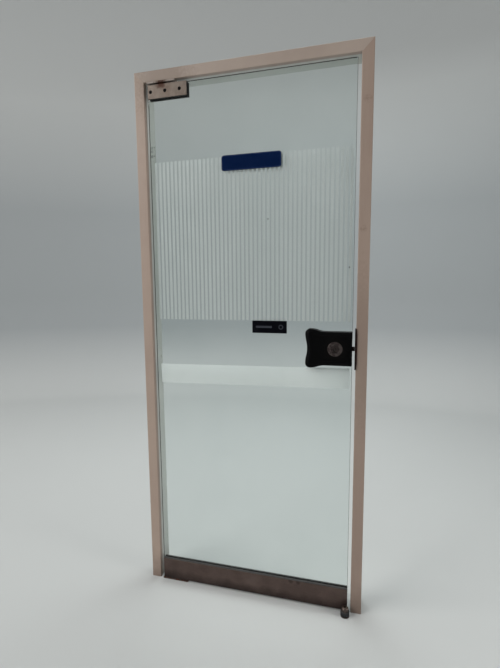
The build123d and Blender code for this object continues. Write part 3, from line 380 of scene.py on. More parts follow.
# %% [markdown]
# Toughened glass is faintly green, and greener the further light travels in it, which is why its edges
# look dark. A coloured volume would do this by itself, but it makes a noisy picture. So the two faces
# get a pale tint and the narrow edges a deep green, told apart by the object's own normal, which turns
# with the leaf. Finger grease makes some patches a little rougher, and a small dark smear sits near the
# hinge edge. A render stops lamp light at glass, though real glass lets most of it through: for shadow
# rays alone the pane is made nearly clear, so that the lamps reach what lies behind it.

# %% Glass
smear_heights = (1.864, 1.85, 1.832)
smear_radius = 0.009
lamp_light_through = 0.85


def clear_glass():
    """Float glass: pale faces, deep green edges, greasy patches, and clear to shadow rays."""
    f = Finish("green_glass", Metallic=0.0, Transmission_Weight=1.0, IOR=1.5)
    w = f.wiring
    outwards = w.axes(f.facing)["Y"]
    edge = w.fit(w.math("ABSOLUTE", outwards), 0.6, 0.9, 1.0, 0.0)
    shadow_ray = w.put("ShaderNodeLightPath").outputs["Is Shadow Ray"]
    solid = w.math("SUBTRACT", 1.0, w.math("MULTIPLY", shadow_ray, lamp_light_through))
    greasy = f.mask(stain, Scale=3.0, Low=0.45, High=0.75)
    hand = f.mask(spot, Centre=(lock_centre.x - 0.1, glass_low.y, lock_centre.z + 0.05), Radius=0.35)
    rough = w.fit(w.math("ADD", w.math("MULTIPLY", greasy, 0.6), hand), 0.0, 1.6, 0.0, 0.02)
    tint = f.layer(screen(242, 248, 247), (237, 244, 243), greasy)
    for height in smear_heights:
        centre = (glass_low.x + smear_radius, glass_low.y, height)
        tint = f.layer(tint, (96, 98, 92), f.mask(spot, Centre=centre, Radius=smear_radius), 0.55)
    tint = f.layer(tint, (26, 52, 44), edge)
    return f.wire(Base_Color=tint, Roughness=rough, Alpha=solid)


dress(clear_glass(), "glass_pane")

# %% [markdown]
# The frosted film is a thin white plastic with a fine sanded face. Rough glass would blur what is behind
# it, but slowly and with noise. A white, partly clear face comes close, because the film is matt and
# pale. The strips were rubbed down by hand, so their tone is never quite even, and they have greyed a
# little more than the plain band. A few dark specks of dirt have stayed in it.

# %% Frosted film
specks = ((0.426, 1.566, 0.7), (0.733, 1.377, 0.9), (0.606, 1.366, 0.4))
speck_radius = 0.0045


def frosted_film(name, fresh, aged):
    """Sanded film: white, partly clear, cloudy, with specks given as (across, height, strength)."""
    f = Finish(name, Metallic=0.0)
    w = f.wiring
    tone = f.layer(screen(*fresh), aged, f.mask(stain, Scale=3.5, Low=0.35, High=0.75))
    for across, height, strength in specks:
        speck = f.mask(spot, Centre=(across, glass_high.y, height), Radius=speck_radius)
        tone = f.layer(tone, (58, 58, 54), speck, strength)
    cover = w.fit(w.noise(f.place, 7.0), 0.3, 0.7, 0.76, 0.84)
    grain = w.noise(f.place, 1500.0, detail=2.0)
    return f.grained(grain, (0.5, 0.7), (0.04, 0.0002), Base_Color=tone, Alpha=cover)


dress(frosted_film("frosted_stripes", (222, 224, 224), (209, 212, 212)), "film_stripes")
dress(frosted_film("frosted_band", (250, 252, 252), (241, 244, 244)), "film_band")

# %% [markdown]
# Two small plates are stuck to the outside of the glass: a deep blue one high up and a nearly black one
# near the lock. They are smooth plastic with a shiny face that hands and cloths have scratched in fine
# arcs. A scratch is paler and rougher than the face round it, so one mask drives colour, gloss and bump
# together. Three separate patterns would look like three faults.

# %% Sign plates
def sign_plastic(name, face, worn):
    """Glossy plastic: a deep colour, paler hair scratches and a soft change of gloss."""
    f = Finish(name, Metallic=0.0, Specular_IOR_Level=0.08)
    w = f.wiring
    cloud = f.mask(stain, Scale=12.0, Low=0.4, High=0.75)
    tone = f.layer(screen(*face), worn, cloud, 0.5)
    scratch = f.mask(hairs, Scale=45.0, Width=0.01)
    tone = f.layer(tone, [value + 40 for value in worn], scratch, 0.3)
    rough = w.fit(w.math("ADD", cloud, scratch), 0.0, 1.5, 0.18, 0.42)
    return f.wire(Base_Color=tone, Roughness=rough, Normal=w.bump(scratch, 0.08, 0.0002))


dress(sign_plastic("blue_plate", (6, 27, 66), (10, 34, 74)), "name_plate")
dress(sign_plastic("black_plate", (7, 8, 14), (12, 14, 21)), "push_sign")

# %% [markdown]
# The clamp at the top corner has a dull stainless cover, brushed along its length. Grease and dust have
# turned it brownish grey, and the rusty pivot pin above it has bled onto it. The shader could stretch
# its own highlight along the brushing, but here the light is so soft that drawn lines show more.

# %% Clamp cover
def clamp_cover():
    """Dull brushed steel with brown film, and rust bled down from the pin."""
    f = Finish("clamp_steel", Metallic=0.75)
    w = f.wiring
    lines = f.mask(brush, Place=w.stretch(f.place, 0.6, 14.0, 14.0), Scale=55.0)
    tone = f.layer(screen(112, 101, 93), (93, 83, 76), lines, 0.5)
    tone = f.layer(tone, (121, 111, 103), f.mask(stain, Scale=26.0, Low=0.42, High=0.72))
    bleed_centre = (pin_high.x * 0.2, patch_low.y, patch_high.z + 0.002)
    bleed = f.mask(spot, Centre=bleed_centre, Radius=0.024)
    tone = f.layer(tone, (70, 38, 26), bleed, 0.85)
    smudge_centre = (pin_high.x * 2.2, patch_low.y, patch_high.z - 0.02)
    tone = f.layer(tone, (92, 72, 62), f.mask(spot, Centre=smudge_centre, Radius=0.03), 0.35)
    tone = f.layer(tone, (186, 174, 162), f.mask(hairs, Scale=26.0, Width=0.014), 0.7)
    rough = w.fit(w.math("ADD", lines, bleed), 0.0, 1.6, 0.36, 0.62)
    return f.wire(Base_Color=tone, Roughness=rough, Normal=w.bump(lines, 0.1, 0.0002))


dress(clamp_cover(), "patch_front_cover", "patch_rear_cover")

# %% [markdown]
# The bodies under the cover are dark castings, and they show as the black line round it. Cast metal
# keeps the grain of the sand that it was poured into, so a very fine noise drives gloss and bump alike.

# %% Clamp castings
def dark_casting():
    """Cast metal gone nearly black: sand grain and a few grey rubs."""
    f = Finish("dark_casting", Metallic=0.35)
    tone = f.layer(screen(22, 19, 17), (58, 52, 47), f.mask(stain, Scale=60.0, Low=0.55, High=0.8), 0.5)
    sand = f.wiring.noise(f.place, 900.0, detail=3.0)
    return f.grained(sand, (0.5, 0.68), (0.3, 0.0004), Base_Color=tone)


dress(dark_casting(), "patch_front_body", "patch_rear_body")

# %% [markdown]
# Rust is never one colour. It runs from nearly black through brown to orange, in lumps on lumps, and it
# has no shine. Two noises at different scales choose among three browns and also make the lumps. The
# same mask takes the metal's shine away, so that a flake never looks painted on.

# %% Rust
def rust(name, bare, amount):
    """Rusty steel: bare metal where the cloudy mask is low, lumpy browns where it is high."""
    f = Finish(name)
    w = f.wiring
    coarse = w.noise(f.place, 160.0, detail=5.0, roughness=0.65)
    fine = w.noise(f.place, 700.0, detail=4.0)
    brown = f.layer(screen(46, 24, 16), (94, 48, 26), w.fit(fine, 0.35, 0.65))
    brown = f.layer(brown, (126, 68, 34), w.fit(coarse, 0.55, 0.75))
    crust = w.fit(coarse, 0.62 - amount * 0.4, 0.74 - amount * 0.4)
    height = w.math("MULTIPLY", w.math("ADD", coarse, w.math("MULTIPLY", fine, 0.5)), crust)
    return f.wire(
        Base_Color=w.blend(crust, screen(*bare), brown),
        Metallic=w.fit(crust, 0.0, 0.6, 0.85, 0.0),
        Roughness=w.fit(crust, 0.0, 0.7, 0.42, 0.9),
        Normal=w.bump(height, 0.5, 0.0008),
    )


dress(rust("rusty_pin", (110, 96, 86), 0.85), "top_pivot_pin")
dress(rust("floor_steel", (88, 82, 78), 0.45), "floor_pivot_plate", "floor_pivot_pin")

# %% [markdown]
# The plate under the head carries the top pivot. It has been painted over with the frame, and the paint
# has browned around the pin. The brown is a round spot set at the pin's own place, so it stays with the
# pin when the model's sizes change.

# %% Top pivot plate
def painted_plate():
    """Pale paint over steel, stained brown round the pin and dirty in patches."""
    f = Finish("overpainted_plate", Metallic=0.0)
    w = f.wiring
    dirt = f.mask(stain, Scale=40.0, Low=0.4, High=0.7)
    tone = f.layer(screen(172, 160, 152), (138, 124, 114), dirt)
    around = f.mask(spot, Centre=(0.0, 0.0, pin_high.z - 0.006), Radius=0.034)
    tone = f.layer(tone, (70, 40, 27), around)
    rough = w.fit(w.math("ADD", dirt, around), 0.0, 1.5, 0.45, 0.85)
    flake = w.noise(f.place, 260.0, detail=4.0)
    return f.wire(Base_Color=tone, Roughness=rough, Normal=w.bump(flake, 0.3, 0.0005))


dress(painted_plate(), "top_pivot_plate")

# %% [markdown]
# The rail along the bottom has a brushed cover on each face. Its bronze-brown skin is painted darker
# towards the floor, as painted shade where less light reaches the foot of the rail. It has long scuffs
# from shoes, and two short dark marks sit near its upper edge. The scuffs are the hair scratches drawn
# out along the rail, because feet pass from side to side.

# %% Rail covers
mark_places = (0.522, 0.553)
mark_radius = 0.011
mark_drop = 0.004


def rail_skin():
    """Brown brushed metal: lines along the rail, shoe scuffs, painted shade below and two dark marks."""
    f = Finish("rail_bronze", Metallic=0.7)
    w = f.wiring
    lines = f.mask(brush, Place=w.stretch(f.place, 0.5, 20.0, 20.0), Scale=60.0)
    tone = f.layer(screen(94, 78, 72), (78, 64, 60), lines)
    tone = f.layer(tone, (104, 88, 82), f.mask(stain, Scale=9.0, Low=0.42, High=0.75))
    scuff = f.mask(hairs, Place=w.stretch(f.place, 0.35, 1.0, 1.6), Scale=40.0, Width=0.02)
    tone = f.layer(tone, (126, 112, 102), scuff, 0.5)
    # Painted shade: the rail grows darker towards the floor, standing for the light that falls off at its
    # foot.
    near_floor = f.mask(low_dirt_and_shade, Floor=rail_low.z, Height=0.045)
    tone = f.layer(tone, (40, 30, 29), near_floor, 0.85)
    for along in mark_places:
        mark = f.mask(spot, Centre=(along, rail_low.y, rail_high.z - mark_drop), Radius=mark_radius)
        tone = f.layer(tone, (34, 27, 25), mark, 0.55)
    rough = w.fit(w.math("ADD", lines, near_floor), 0.0, 1.8, 0.34, 0.6)
    return f.wire(Base_Color=tone, Roughness=rough, Normal=w.bump(lines, 0.12, 0.0002))


dress(rail_skin(), "rail_front_cover", "rail_rear_cover", "rail_end_caps")

# %% [markdown]
# The channel inside the rail is bare aluminium, as it came out of the press. The die leaves faint lines
# all along it, and dust settles on the upward faces. Little of it shows, so two layers are enough.

# %% Rail channel
def mill_metal():
    """Plain extruded aluminium: faint lines along the rail, a dull grey oxide and dust."""
    f = Finish("mill_aluminium", Metallic=0.9)
    w = f.wiring
    lines = f.mask(brush, Place=w.stretch(f.place, 0.5, 30.0, 30.0), Scale=50.0)
    tone = f.layer(screen(150, 148, 145), (128, 126, 124), lines)
    tone = f.layer(tone, (112, 102, 94), f.mask(ledge, Scale=45.0))
    rough = w.fit(lines, 0.0, 1.0, 0.38, 0.5)
    return f.wire(Base_Color=tone, Roughness=rough, Normal=w.bump(lines, 0.08, 0.0002))


dress(mill_metal(), "rail_channel")

# %% [markdown]
# Black rubber shows up along the foot of the glass, round the clamp and under the lock. It is matt,
# slightly grey with age, and a light dust lies on every ledge that it makes. Pure black would look like
# a hole in the picture, so its tones start a little above it.

# %% Rubber
def black_rubber():
    """Aged rubber: near black, greyed in patches, dusted where it looks up."""
    f = Finish("black_rubber", Metallic=0.0)
    tone = f.layer(screen(22, 23, 25), (38, 38, 40), f.mask(stain, Scale=30.0, Low=0.4, High=0.8))
    tone = f.layer(tone, (96, 92, 88), f.mask(ledge, Scale=70.0), 0.35)
    grain = f.wiring.noise(f.place, 800.0, detail=2.0)
    return f.grained(grain, (0.62, 0.8), (0.2, 0.0002), Base_Color=tone)


dress(black_rubber(), "patch_liners", "rail_gaskets", "lock_gaskets", "stop_ring")

# %% [markdown]
# The lock's case is powder coated black, with a fine pebbled bump. Where hands rub, round the cylinder,
# it goes shinier and greyer. A model of the pebbles would take millions of faces, and a bump of the same
# height looks the same from any distance at which a lock is used.

# %% Lock case
def lock_coat():
    """Black powder coat: pebbled, with a soft grey rub round the cylinder."""
    f = Finish("lock_black", Metallic=0.0, Specular_IOR_Level=0.08)
    w = f.wiring
    rub = f.mask(spot, Centre=(lock_centre.x, case_low.y, lock_centre.z), Radius=0.05)
    tone = f.layer(screen(3, 3, 4), (16, 14, 13), rub, 0.6)
    tone = f.layer(tone, (90, 86, 82), f.mask(ledge, Scale=80.0), 0.25)
    tone = f.layer(tone, (60, 58, 56), f.mask(hairs, Scale=50.0, Width=0.01), 0.35)
    pebble = w.noise(f.place, 650.0, detail=2.0)
    rough = w.fit(w.math("SUBTRACT", pebble, w.math("MULTIPLY", rub, 0.4)), 0.0, 0.7, 0.3, 0.5)
    return f.wire(Base_Color=tone, Roughness=rough, Normal=w.bump(pebble, 0.18, 0.0003))


dress(lock_coat(), "lock_front_case", "lock_rear_case")

# %% [markdown]
# The ring round the cylinder has lost its plating and is a mottled brown grey. The cylinder, the plug,
# the bolt and the strike have worn in the same way, each to its own metal. One function with two colours
# and an amount of wear serves them all, and keeps them of one family.

# %% Worn plating
def worn_plating(name, plate, under, amount):
    """Plating worn through in patches to a duller metal."""
    f = Finish(name, Metallic=0.8)
    w = f.wiring
    worn = f.mask(stain, Scale=95.0, Low=0.62 - amount * 0.3, High=0.78 - amount * 0.3)
    tone = f.layer(screen(*plate), under, worn)
    scratch = f.mask(hairs, Scale=90.0, Width=0.02)
    tone = f.layer(tone, [min(255, value + 50) for value in plate], scratch, 0.5)
    rough = w.fit(w.math("SUBTRACT", worn, w.math("MULTIPLY", scratch, 0.5)), 0.0, 1.0, 0.3, 0.55)
    return f.wire(Base_Color=tone, Roughness=rough, Normal=w.bump(worn, 0.15, 0.0002))


dress(worn_plating("worn_ring", (92, 84, 82), (64, 55, 54), 0.6), "cylinder_rosette")
dress(worn_plating("worn_cylinder", (70, 62, 60), (44, 37, 36), 0.6), "lock_cylinder")
dress(worn_plating("worn_plug", (56, 49, 47), (30, 25, 24), 0.5), "key_plug")
dress(worn_plating("thumb_turn_metal", (132, 128, 124), (92, 86, 80), 0.4), "thumb_turn", "turn_rosette")
lock_steel = worn_plating("lock_steel", (120, 116, 110), (80, 70, 62), 0.4)
dress(lock_steel, "lock_body", "lock_body_lid", "bolt_cam")
dress(worn_plating("bolt_metal", (44, 28, 26), (28, 14, 14), 0.7), "bolt")
dress(worn_plating("dark_strike", (40, 24, 22), (62, 36, 28), 0.3), "strike_plate")

# %% [markdown]
# What is left is small: screws, bronze bushes, plain steel blocks, the plastic packers under the glass
# and the turned stop on the floor. One grey for all of them would do from afar, but they show from below
# and when the door stands open, so each kind gets its own metal.

# %% Turned and machined metal
def turned_metal(name, face, groove, dusty):
    """Machined metal: fine changes of tone, and dust where it looks up."""
    f = Finish(name, Metallic=0.85)
    w = f.wiring
    fine = w.noise(f.place, 420.0, detail=4.0)
    tone = f.layer(screen(*face), groove, w.fit(fine, 0.35, 0.65))
    tone = f.layer(tone, (120, 108, 98), f.mask(ledge, Scale=90.0), dusty)
    return f.grained(fine, (0.3, 0.48), (0.1, 0.0002), Base_Color=tone)


screw_steel = turned_metal("screw_steel", (150, 146, 140), (112, 106, 100), 0.2)
block_steel = turned_metal("block_steel", (112, 108, 104), (84, 80, 76), 0.3)
bronze = turned_metal("bronze", (172, 132, 78), (136, 98, 56), 0.1)
dress(turned_metal("blackened_screw", (20, 16, 14), (9, 7, 7), 0.0), "patch_screws")
dress(screw_steel, "top_plate_screws", "strike_screws", "end_cap_screws", "block_screws", "lock_screws")
dress(block_steel, "patch_pivot_block", "rail_pivot_block")
dress(bronze, "thrust_washer", "patch_bush", "rail_bush")
dress(turned_metal("stop_metal", (106, 94, 88), (76, 66, 62), 0.35), "stop_post")

# %% [markdown]
# The packers that carry the pane in its channel are moulded from off-white plastic. Moulded plastic has
# a fine even grain and hardly any change of tone, so one slow noise and one quick one make it. With
# them, every part of the solid model has its finish.

# %% Plastic packers
def packer_plastic():
    """Off-white plastic with a fine moulded grain."""
    f = Finish("packer_plastic", Metallic=0.0)
    w = f.wiring
    tone = f.layer(screen(206, 204, 196), (184, 181, 172), w.noise(f.place, 60.0))
    return f.grained(w.noise(f.place, 500.0), (0.5, 0.65), (0.15, 0.0002), Base_Color=tone)


dress(packer_plastic(), "setting_blocks")
print("parts with no finish:", sorted(set(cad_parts) - set(dressed)))

# %% [markdown]
# The details that are too thin for the solid model are surfaces worked out with numpy. A surface here is
# a grid of points: rows along a path, columns round a profile. Quads join neighbours, and a closed path
# or profile also joins its last row or column to its first. Extruding step by step would give the same
# faces, but a grid is one formula, and every detail below can share it.

# %% From a grid of points to a mesh
def grid_faces(rows, columns, closed_rows, closed_columns):
    """Corner numbers of the quads between neighbours, row by row, as one array."""
    r = np.arange(rows if closed_rows else rows - 1)[:, None]
    c = np.arange(columns if closed_columns else columns - 1)[None, :]
    next_r = (r + 1) % rows
    next_c = (c + 1) % columns
    corners = [r * columns + c, r * columns + next_c, next_r * columns + next_c, next_r * columns + c]
    return np.stack(corners, axis=-1).reshape(-1, 4)


def mesh_object(name, points, material, closed_rows, closed_columns, fill):
    """A mesh object from a grid of points, doubles merged; fill caps its ends and turns faces out."""
    rows, columns, _ = points.shape
    faces = grid_faces(rows, columns, closed_rows, closed_columns)
    mesh = bpy.data.meshes.new(name)
    mesh.from_pydata(points.reshape(-1, 3).tolist(), [], faces.tolist())
    shape = bmesh.new()
    shape.from_mesh(mesh)
    bmesh.ops.remove_doubles(shape, verts=shape.verts, dist=1e-7)
    if fill:
        bmesh.ops.holes_fill(shape, edges=[edge for edge in shape.edges if edge.is_boundary])
        bmesh.ops.recalc_face_normals(shape, faces=shape.faces)
    shape.to_mesh(mesh)
    shape.free()
    mesh.materials.append(material)
    made = bpy.data.objects.new(name, mesh)
    bpy.context.scene.collection.objects.link(made)
    print(name, len(mesh.vertices), "points", len(mesh.polygons), "faces")
    return made


def piece(name, points, material, body, closed_rows=False):
    """A closed piece of the door from a grid of points, riding on one of its bodies."""
    made = mesh_object(name, points, material, closed_rows, closed_columns=True, fill=True)
    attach(made, body)


# %% [markdown]
# The blue plate has a fine light line printed inside its edge. The line follows a rectangle with round
# corners. Walking round such an outline by distance takes a test for each side, so a superellipse with
# straightened sides is tempting, but four quarter circles joined by their own gaps are exact: the
# points of each quarter are simply moved out to its corner, and the straight sides appear by themselves.

# %% Outlines in the plane of the door
def rounded_outline(centre, width, height, radius, steps=12):
    """Points round a rounded rectangle: radius * (cos t, sin t) moved to the corner of t's quarter."""
    t = np.concatenate([np.linspace(q, q + 1, steps) * np.pi / 2 for q in range(4)])
    quarter = np.repeat(np.arange(4), steps)
    side_x = np.array([1, -1, -1, 1])[quarter] * (width / 2 - radius)
    side_z = np.array([1, 1, -1, -1])[quarter] * (height / 2 - radius)
    return np.stack([centre.x + side_x + radius * np.cos(t), centre.z + side_z + radius * np.sin(t)], axis=-1)


def at_depth(line, y):
    """A flat outline of (x, z) stood up at depth y."""
    return np.stack([line[:, 0], np.full(len(line), y), line[:, 1]], axis=-1)


def printed_ring(outer, inner, face_y, rise):
    """A closed band between two outlines: its profile runs outer foot, outer top, inner top, inner foot."""
    top = face_y - rise
    columns = [(outer, face_y), (outer, top), (inner, top), (inner, face_y)]
    return np.stack([at_depth(line, y) for line, y in columns], axis=1)


print("an outline has", len(rounded_outline(Vector(), 1.0, 1.0, 0.1)), "points")

# %% [markdown]
# Screen ink is a coat far thinner than a hair that has worn thin in patches. It could be a second colour
# in the plate's own material. As a piece of its own it has a real edge that catches light, and it can
# be moved or left off.

# %% Printed line on the blue plate
ink_rise = 0.00006
line_inset = 0.0022
line_width = 0.0011
plate_corner = 0.010


def print_ink(name, colour, worn):
    """Screen ink: a light colour, thinned in patches, on a slightly rough face."""
    f = Finish(name, Metallic=0.0)
    thin = f.mask(stain, Scale=70.0, Low=0.5, High=0.8)
    tone = f.layer(screen(*colour), worn, thin)
    return f.wire(Base_Color=tone, Roughness=f.wiring.fit(thin, 0.0, 1.0, 0.4, 0.6))


def inset_outline(inset):
    """The blue plate's own outline, drawn in by the inset on every side."""
    centre = (name_low + name_high) / 2
    size = name_high - name_low
    return rounded_outline(centre, size.x - 2 * inset, size.z - 2 * inset, plate_corner - inset)


line_outer = inset_outline(line_inset)
line_inner = inset_outline(line_inset + line_width)
name_line = printed_ring(line_outer, line_inner, name_low.y, ink_rise)
pale_blue_ink = print_ink("pale_blue_ink", (40, 66, 112), (20, 46, 90))
piece("name_plate_line", name_line, pale_blue_ink, "leaf", closed_rows=True)

# %% [markdown]
# The small black plate carries a plain bar on the left and a plain ring on the right, printed in dull
# grey. Both are closed slabs as thin as a coat of ink, set flat on the plate's face. Their places and
# sizes are shares of the plate's, so they follow it when it changes.

# %% Plain marks on the black plate
bar_place, bar_length = 0.34, 0.47
bar_height, bar_rounding = 0.17, 0.07
ring_place = 0.17
ring_radius, ring_hole = 0.19, 0.12


def filled_outline(line, face_y, rise):
    """A thin closed slab: rings at the outline shrink to the centre on both faces, like a flat lens."""
    middle = line.mean(axis=0)
    shares = ((0.0, face_y), (1.0, face_y), (1.0, face_y - rise), (0.0, face_y - rise))
    return np.stack([at_depth(middle + (line - middle) * share, y) for share, y in shares], axis=1)


def circle_outline(centre, radius, steps=48):
    """Points of a circle: centre + radius * (cos t, sin t)."""
    t = np.linspace(0.0, 2.0 * np.pi, steps, endpoint=False)
    return np.stack([centre.x + radius * np.cos(t), centre.z + radius * np.sin(t)], axis=-1)


push_centre = (push_low + push_high) / 2
push_size = push_high - push_low
bar_centre = Vector((push_low.x + bar_place * push_size.x, push_low.y, push_centre.z))
bar_line = rounded_outline(bar_centre, bar_length * push_size.x, bar_height * push_size.z,
                           bar_rounding * push_size.z)
ring_centre = Vector((push_high.x - ring_place * push_size.x, push_low.y, push_centre.z))
ring_outer = circle_outline(ring_centre, ring_radius * push_size.z)
ring_inner = circle_outline(ring_centre, ring_hole * push_size.z)
ring_band = printed_ring(ring_outer, ring_inner, push_low.y, ink_rise)
grey_ink = print_ink("dull_grey_ink", (46, 50, 60), (24, 27, 34))
piece("push_sign_bar", filled_outline(bar_line, push_low.y, ink_rise), grey_ink, "leaf", closed_rows=True)
piece("push_sign_ring", ring_band, grey_ink, "leaf", closed_rows=True)

# %% [markdown]
# The pane's narrow edges are ground, and years of dirt sit in the grinding. Seen through the front face
# they make the dark line that outlines the pane. A ground edge is a skin on the glass, so each one is a
# thin strip just under the edge's own face, which also keeps the light from bouncing inside the pane.

# %% Ground edges of the glass
def edge_strip(start, end, inwards, half_width, cover, depth):
    """Flat bar from start to end: half_width to each side in Y, and from cover to depth along inwards."""
    y = np.array([-half_width, half_width, half_width, -half_width])
    sunk = np.array([cover, cover, depth, depth])
    profile = y[:, None] * np.array([0.0, 1.0, 0.0]) + sunk[:, None] * np.array(inwards)
    return np.array([start, end])[:, None, :] + profile[None, :, :]


def edge_grind():
    """Ground glass full of dirt: dark, slightly green, rough and uneven along the edge."""
    f = Finish("ground_edge", Metallic=0.0)
    tone = f.layer(screen(46, 48, 42), (74, 68, 58), f.mask(stain, Scale=35.0, Low=0.35, High=0.7))
    grit = f.wiring.noise(f.place, 900.0)
    return f.grained(grit, (0.6, 0.8), (0.3, 0.0003), Base_Color=tone)


grind = edge_grind()
grind_inset = 0.0009
grind_half = glass_high.y - grind_inset
grind_cover = 0.00005
grind_depth = 0.0012
tuck = 0.004
foot = rail_high.z - tuck
strip_ends = {
    "ground_edge_top": ((patch_high.x - tuck, glass_high.z), (glass_high.x - tuck, glass_high.z), (0, 0, -1)),
    "ground_edge_hinge": ((glass_low.x, foot), (glass_low.x, patch_low.z + tuck), (1, 0, 0)),
    "ground_edge_latch_low": ((glass_high.x, foot), (glass_high.x, case_low.z + tuck), (-1, 0, 0)),
    "ground_edge_latch_high": ((glass_high.x, case_high.z - tuck), (glass_high.x, glass_high.z), (-1, 0, 0)),
}
for name, (first, last, inwards) in strip_ends.items():
    start = (first[0], 0.0, first[1])
    end = (last[0], 0.0, last[1])
    piece(name, edge_strip(start, end, inwards, grind_half, grind_cover, grind_depth), grind, "leaf")

# %% [markdown]
# Where the head meets a jamb, the tubes are mitred and welded, and the weld is ground and painted over.
# A thin rounded seam still shows on the slanting joint. It is half an ellipse carried along the joint's
# line, sinking almost to nothing at both ends. A half round of even height would look like a piece of
# wire, so two sine waves of unlike length make it swell and thin out.

# %% Seams of the mitred corners
blunt = 12
thinnest = 0.02
long_wave = (0.12, 61.0, 0.0)
short_wave = (0.08, 143.0, 1.0)


def wave(t, height, pace, start):
    """height * sin(pace * t + start)."""
    return height * np.sin(t * pace + start)


def seam(start, end, across, outwards, width, rise, steps=40, turns=9):
    """Half ellipse carried from start to end: across * cos a * width / 2 + outwards * sin a * rise."""
    t = np.linspace(0.0, 1.0, steps)[:, None, None]
    a = np.linspace(0.0, np.pi, turns)[None, :, None]
    full = np.sqrt(np.clip(1.0 - (2.0 * t - 1.0) ** blunt, 0.0, 1.0))
    swell = full * (1.0 - thinnest) + thinnest
    uneven = 1.0 + wave(t, *long_wave) + wave(t, *short_wave)
    path = np.array(start) + (np.array(end) - np.array(start)) * t
    side = np.array(across) * np.cos(a) * width / 2 * swell
    lift = np.array(outwards) * np.sin(a) * rise * swell * uneven
    return path + side + lift


seam_width = 0.0016
seam_rise = 0.00035
corner_pull = 0.003
inner_share = 0.2
slant = math.sqrt(0.5)
front_y = head_low.y
head_paint = bpy.data.materials["stone_paint_head_lit"]
for corner, inner_x, outer_x, lean in (
    ("hinge", opening_left, jamb_low.x, 1.0),
    ("latch", opening_right, latch_high.x, -1.0),
):
    step = -lean * corner_pull
    begin = (inner_x + step * inner_share, front_y, opening_top + corner_pull * inner_share)
    finish = (outer_x - step, front_y, head_high.z - corner_pull)
    grid = seam(begin, finish, (slant, 0.0, slant * lean), (0.0, -1.0, 0.0), seam_width, seam_rise)
    piece("mitre_seam_" + corner, grid, head_paint, "frame")

# %% [markdown]
# The portrait is taken in a plain studio: a pale floor that curves up into a pale wall all round. A flat
# floor and a flat backdrop would show their ends from the side and in the glass. The curve leaves no
# line at the horizon, and the glass shows it as a soft even light from every side. The wall is a shade
# deeper in a belt behind the door, because pale film only shows before a deeper tone.

# %% Round studio
belt_foot = (0.02, 0.75)
belt_top = (2.3, 3.7)
belt_back = (0.0, 2.5)


def studio_bowl(centre, radius, corner, rise, steps=24, turns=160):
    """Floor, quarter circle and wall as one profile in reach and height, turned once round centre."""
    a = np.linspace(-np.pi / 2, 0.0, steps)
    reach = np.concatenate([[0.0], radius - corner + corner * np.cos(a), [radius]])
    height = np.concatenate([[0.0], corner + corner * np.sin(a), [rise]])
    t = np.linspace(0.0, 2.0 * np.pi, turns, endpoint=False)[:, None]
    return np.stack([centre[0] + reach * np.cos(t), centre[1] + reach * np.sin(t), height + 0.0 * t], axis=-1)


def studio_paint():
    """Matt pale paint: barely cloudy, and a shade deeper on the wall behind the middle of the door."""
    f = Finish("studio_paint", Metallic=0.0, Roughness=0.9, Specular_IOR_Level=0.1)
    w = f.wiring
    tone = f.layer(screen(208, 210, 209), (212, 214, 213), w.noise(f.place, 0.8))
    along = w.axes(f.place)
    belt = w.math("MULTIPLY", w.fit(along["Z"], *belt_foot), w.fit(along["Z"], *belt_top, 1.0, 0.25))
    behind = w.fit(along["Y"], *belt_back, 0.2, 1.0)
    return f.wire(Base_Color=f.layer(tone, (169, 173, 175), belt, behind))


bowl = studio_bowl(centre=(0.35, -3.8), radius=8.0, corner=1.2, rise=9.0)
studio = mesh_object("studio_bowl", bowl, studio_paint(), closed_rows=True, closed_columns=False, fill=False)
studio.data.polygons.foreach_set("use_smooth", np.ones(len(studio.data.polygons), bool))

# %% [markdown]
# The world gives an even pale light, which the round wall lets in only from above. To it come three
# square lamps: a very large one from the left, a small one low from the right that fills the inside of
# the hinge jamb, and one overhead behind the door, which lights the floor there. An image wrapped
# round the scene would light it as well, but lamps can be moved one at a time. Rays that have come
# through glass do not see the lamps themselves, so no lamp shows as a white square in the pane.

# %% Lights
sky_tint = (0.93, 0.97, 1.0, 1.0)
sky_strength = 0.4
warm = (1.0, 0.97, 0.94)
cool = (0.95, 1.0, 0.99)
door_middle = (0.35, 0.0, 1.1)

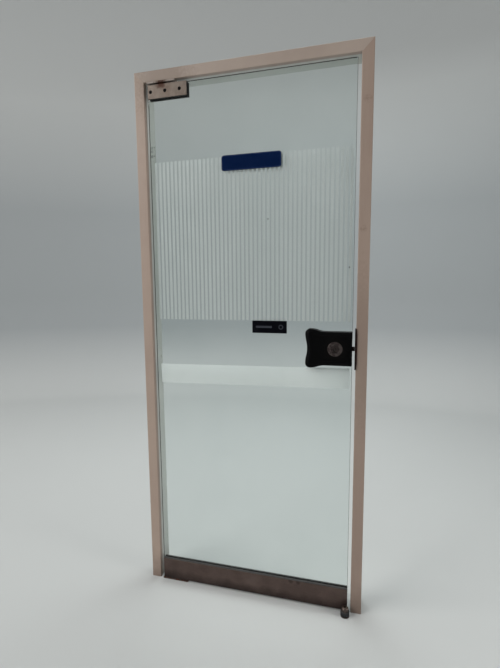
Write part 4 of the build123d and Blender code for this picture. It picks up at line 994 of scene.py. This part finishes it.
world = bpy.data.worlds.new("studio_light")
world.use_nodes = True
sky = world.node_tree.nodes["Background"].inputs
sky["Color"].default_value = sky_tint
sky["Strength"].default_value = sky_strength
bpy.context.scene.world = world


def soft_lamp(name, place, target, size, watts, colour):
    """A square area lamp at place that looks at target."""
    lamp = bpy.data.lights.new(name, "AREA")
    lamp.shape = "SQUARE"
    lamp.size = size
    lamp.energy = watts
    lamp.color = colour
    made = bpy.data.objects.new(name, lamp)
    made.location = place
    aim = Vector(target) - Vector(place)
    made.rotation_euler = aim.to_track_quat("-Z", "Y").to_euler()
    made.visible_transmission = False
    bpy.context.scene.collection.objects.link(made)
    print(name, watts, "W")


soft_lamp("lamp_left", (-4.3, -3.4, 3.7), door_middle, size=4.6, watts=228.0, colour=warm)
soft_lamp("lamp_right", (3.4, -0.6, 1.2), (0.0, -0.05, 1.1), size=0.8, watts=23.0, colour=warm)
soft_lamp("lamp_room", (0.35, 1.4, 3.6), (0.35, 2.1, 0.0), size=1.6, watts=46.0, colour=cool)

# %% [markdown]
# The camera repeats the photograph. Moving it by eye until the picture fits takes long and is never
# quite right, so its place and turn were worked out from the corners of the glass and the door's size.
# It stands in front of the latch jamb, at chest height, looks to the left and a little down, and leans
# by half a degree. The lens follows from the focal length and the picture's height, both in pixels.

# %% Camera
camera_place = Vector((0.7895, -1.6150, 1.3199))
turn_left = math.radians(15.16)
look_down = math.radians(6.81)
camera_lean = math.radians(-0.47)
focal_pixels = 421.2
frame_pixels = 668
sensor_width = 36.0

camera_data = bpy.data.cameras.new("photo_camera")
camera_data.sensor_fit = "AUTO"
camera_data.sensor_width = sensor_width
camera_data.lens = focal_pixels * sensor_width / frame_pixels
camera_data.clip_start = 0.01
camera = bpy.data.objects.new("photo_camera", camera_data)
bpy.context.scene.collection.objects.link(camera)
camera.matrix_world = (
    Matrix.Translation(camera_place)
    @ Matrix.Rotation(turn_left, 4, "Z")
    @ Matrix.Rotation(math.pi / 2 - look_down, 4, "X")
    @ Matrix.Rotation(camera_lean, 4, "Z")
)
bpy.context.scene.camera = camera
bpy.context.scene.view_settings.view_transform = "Standard"
print("lens", round(camera_data.lens, 2), "mm")
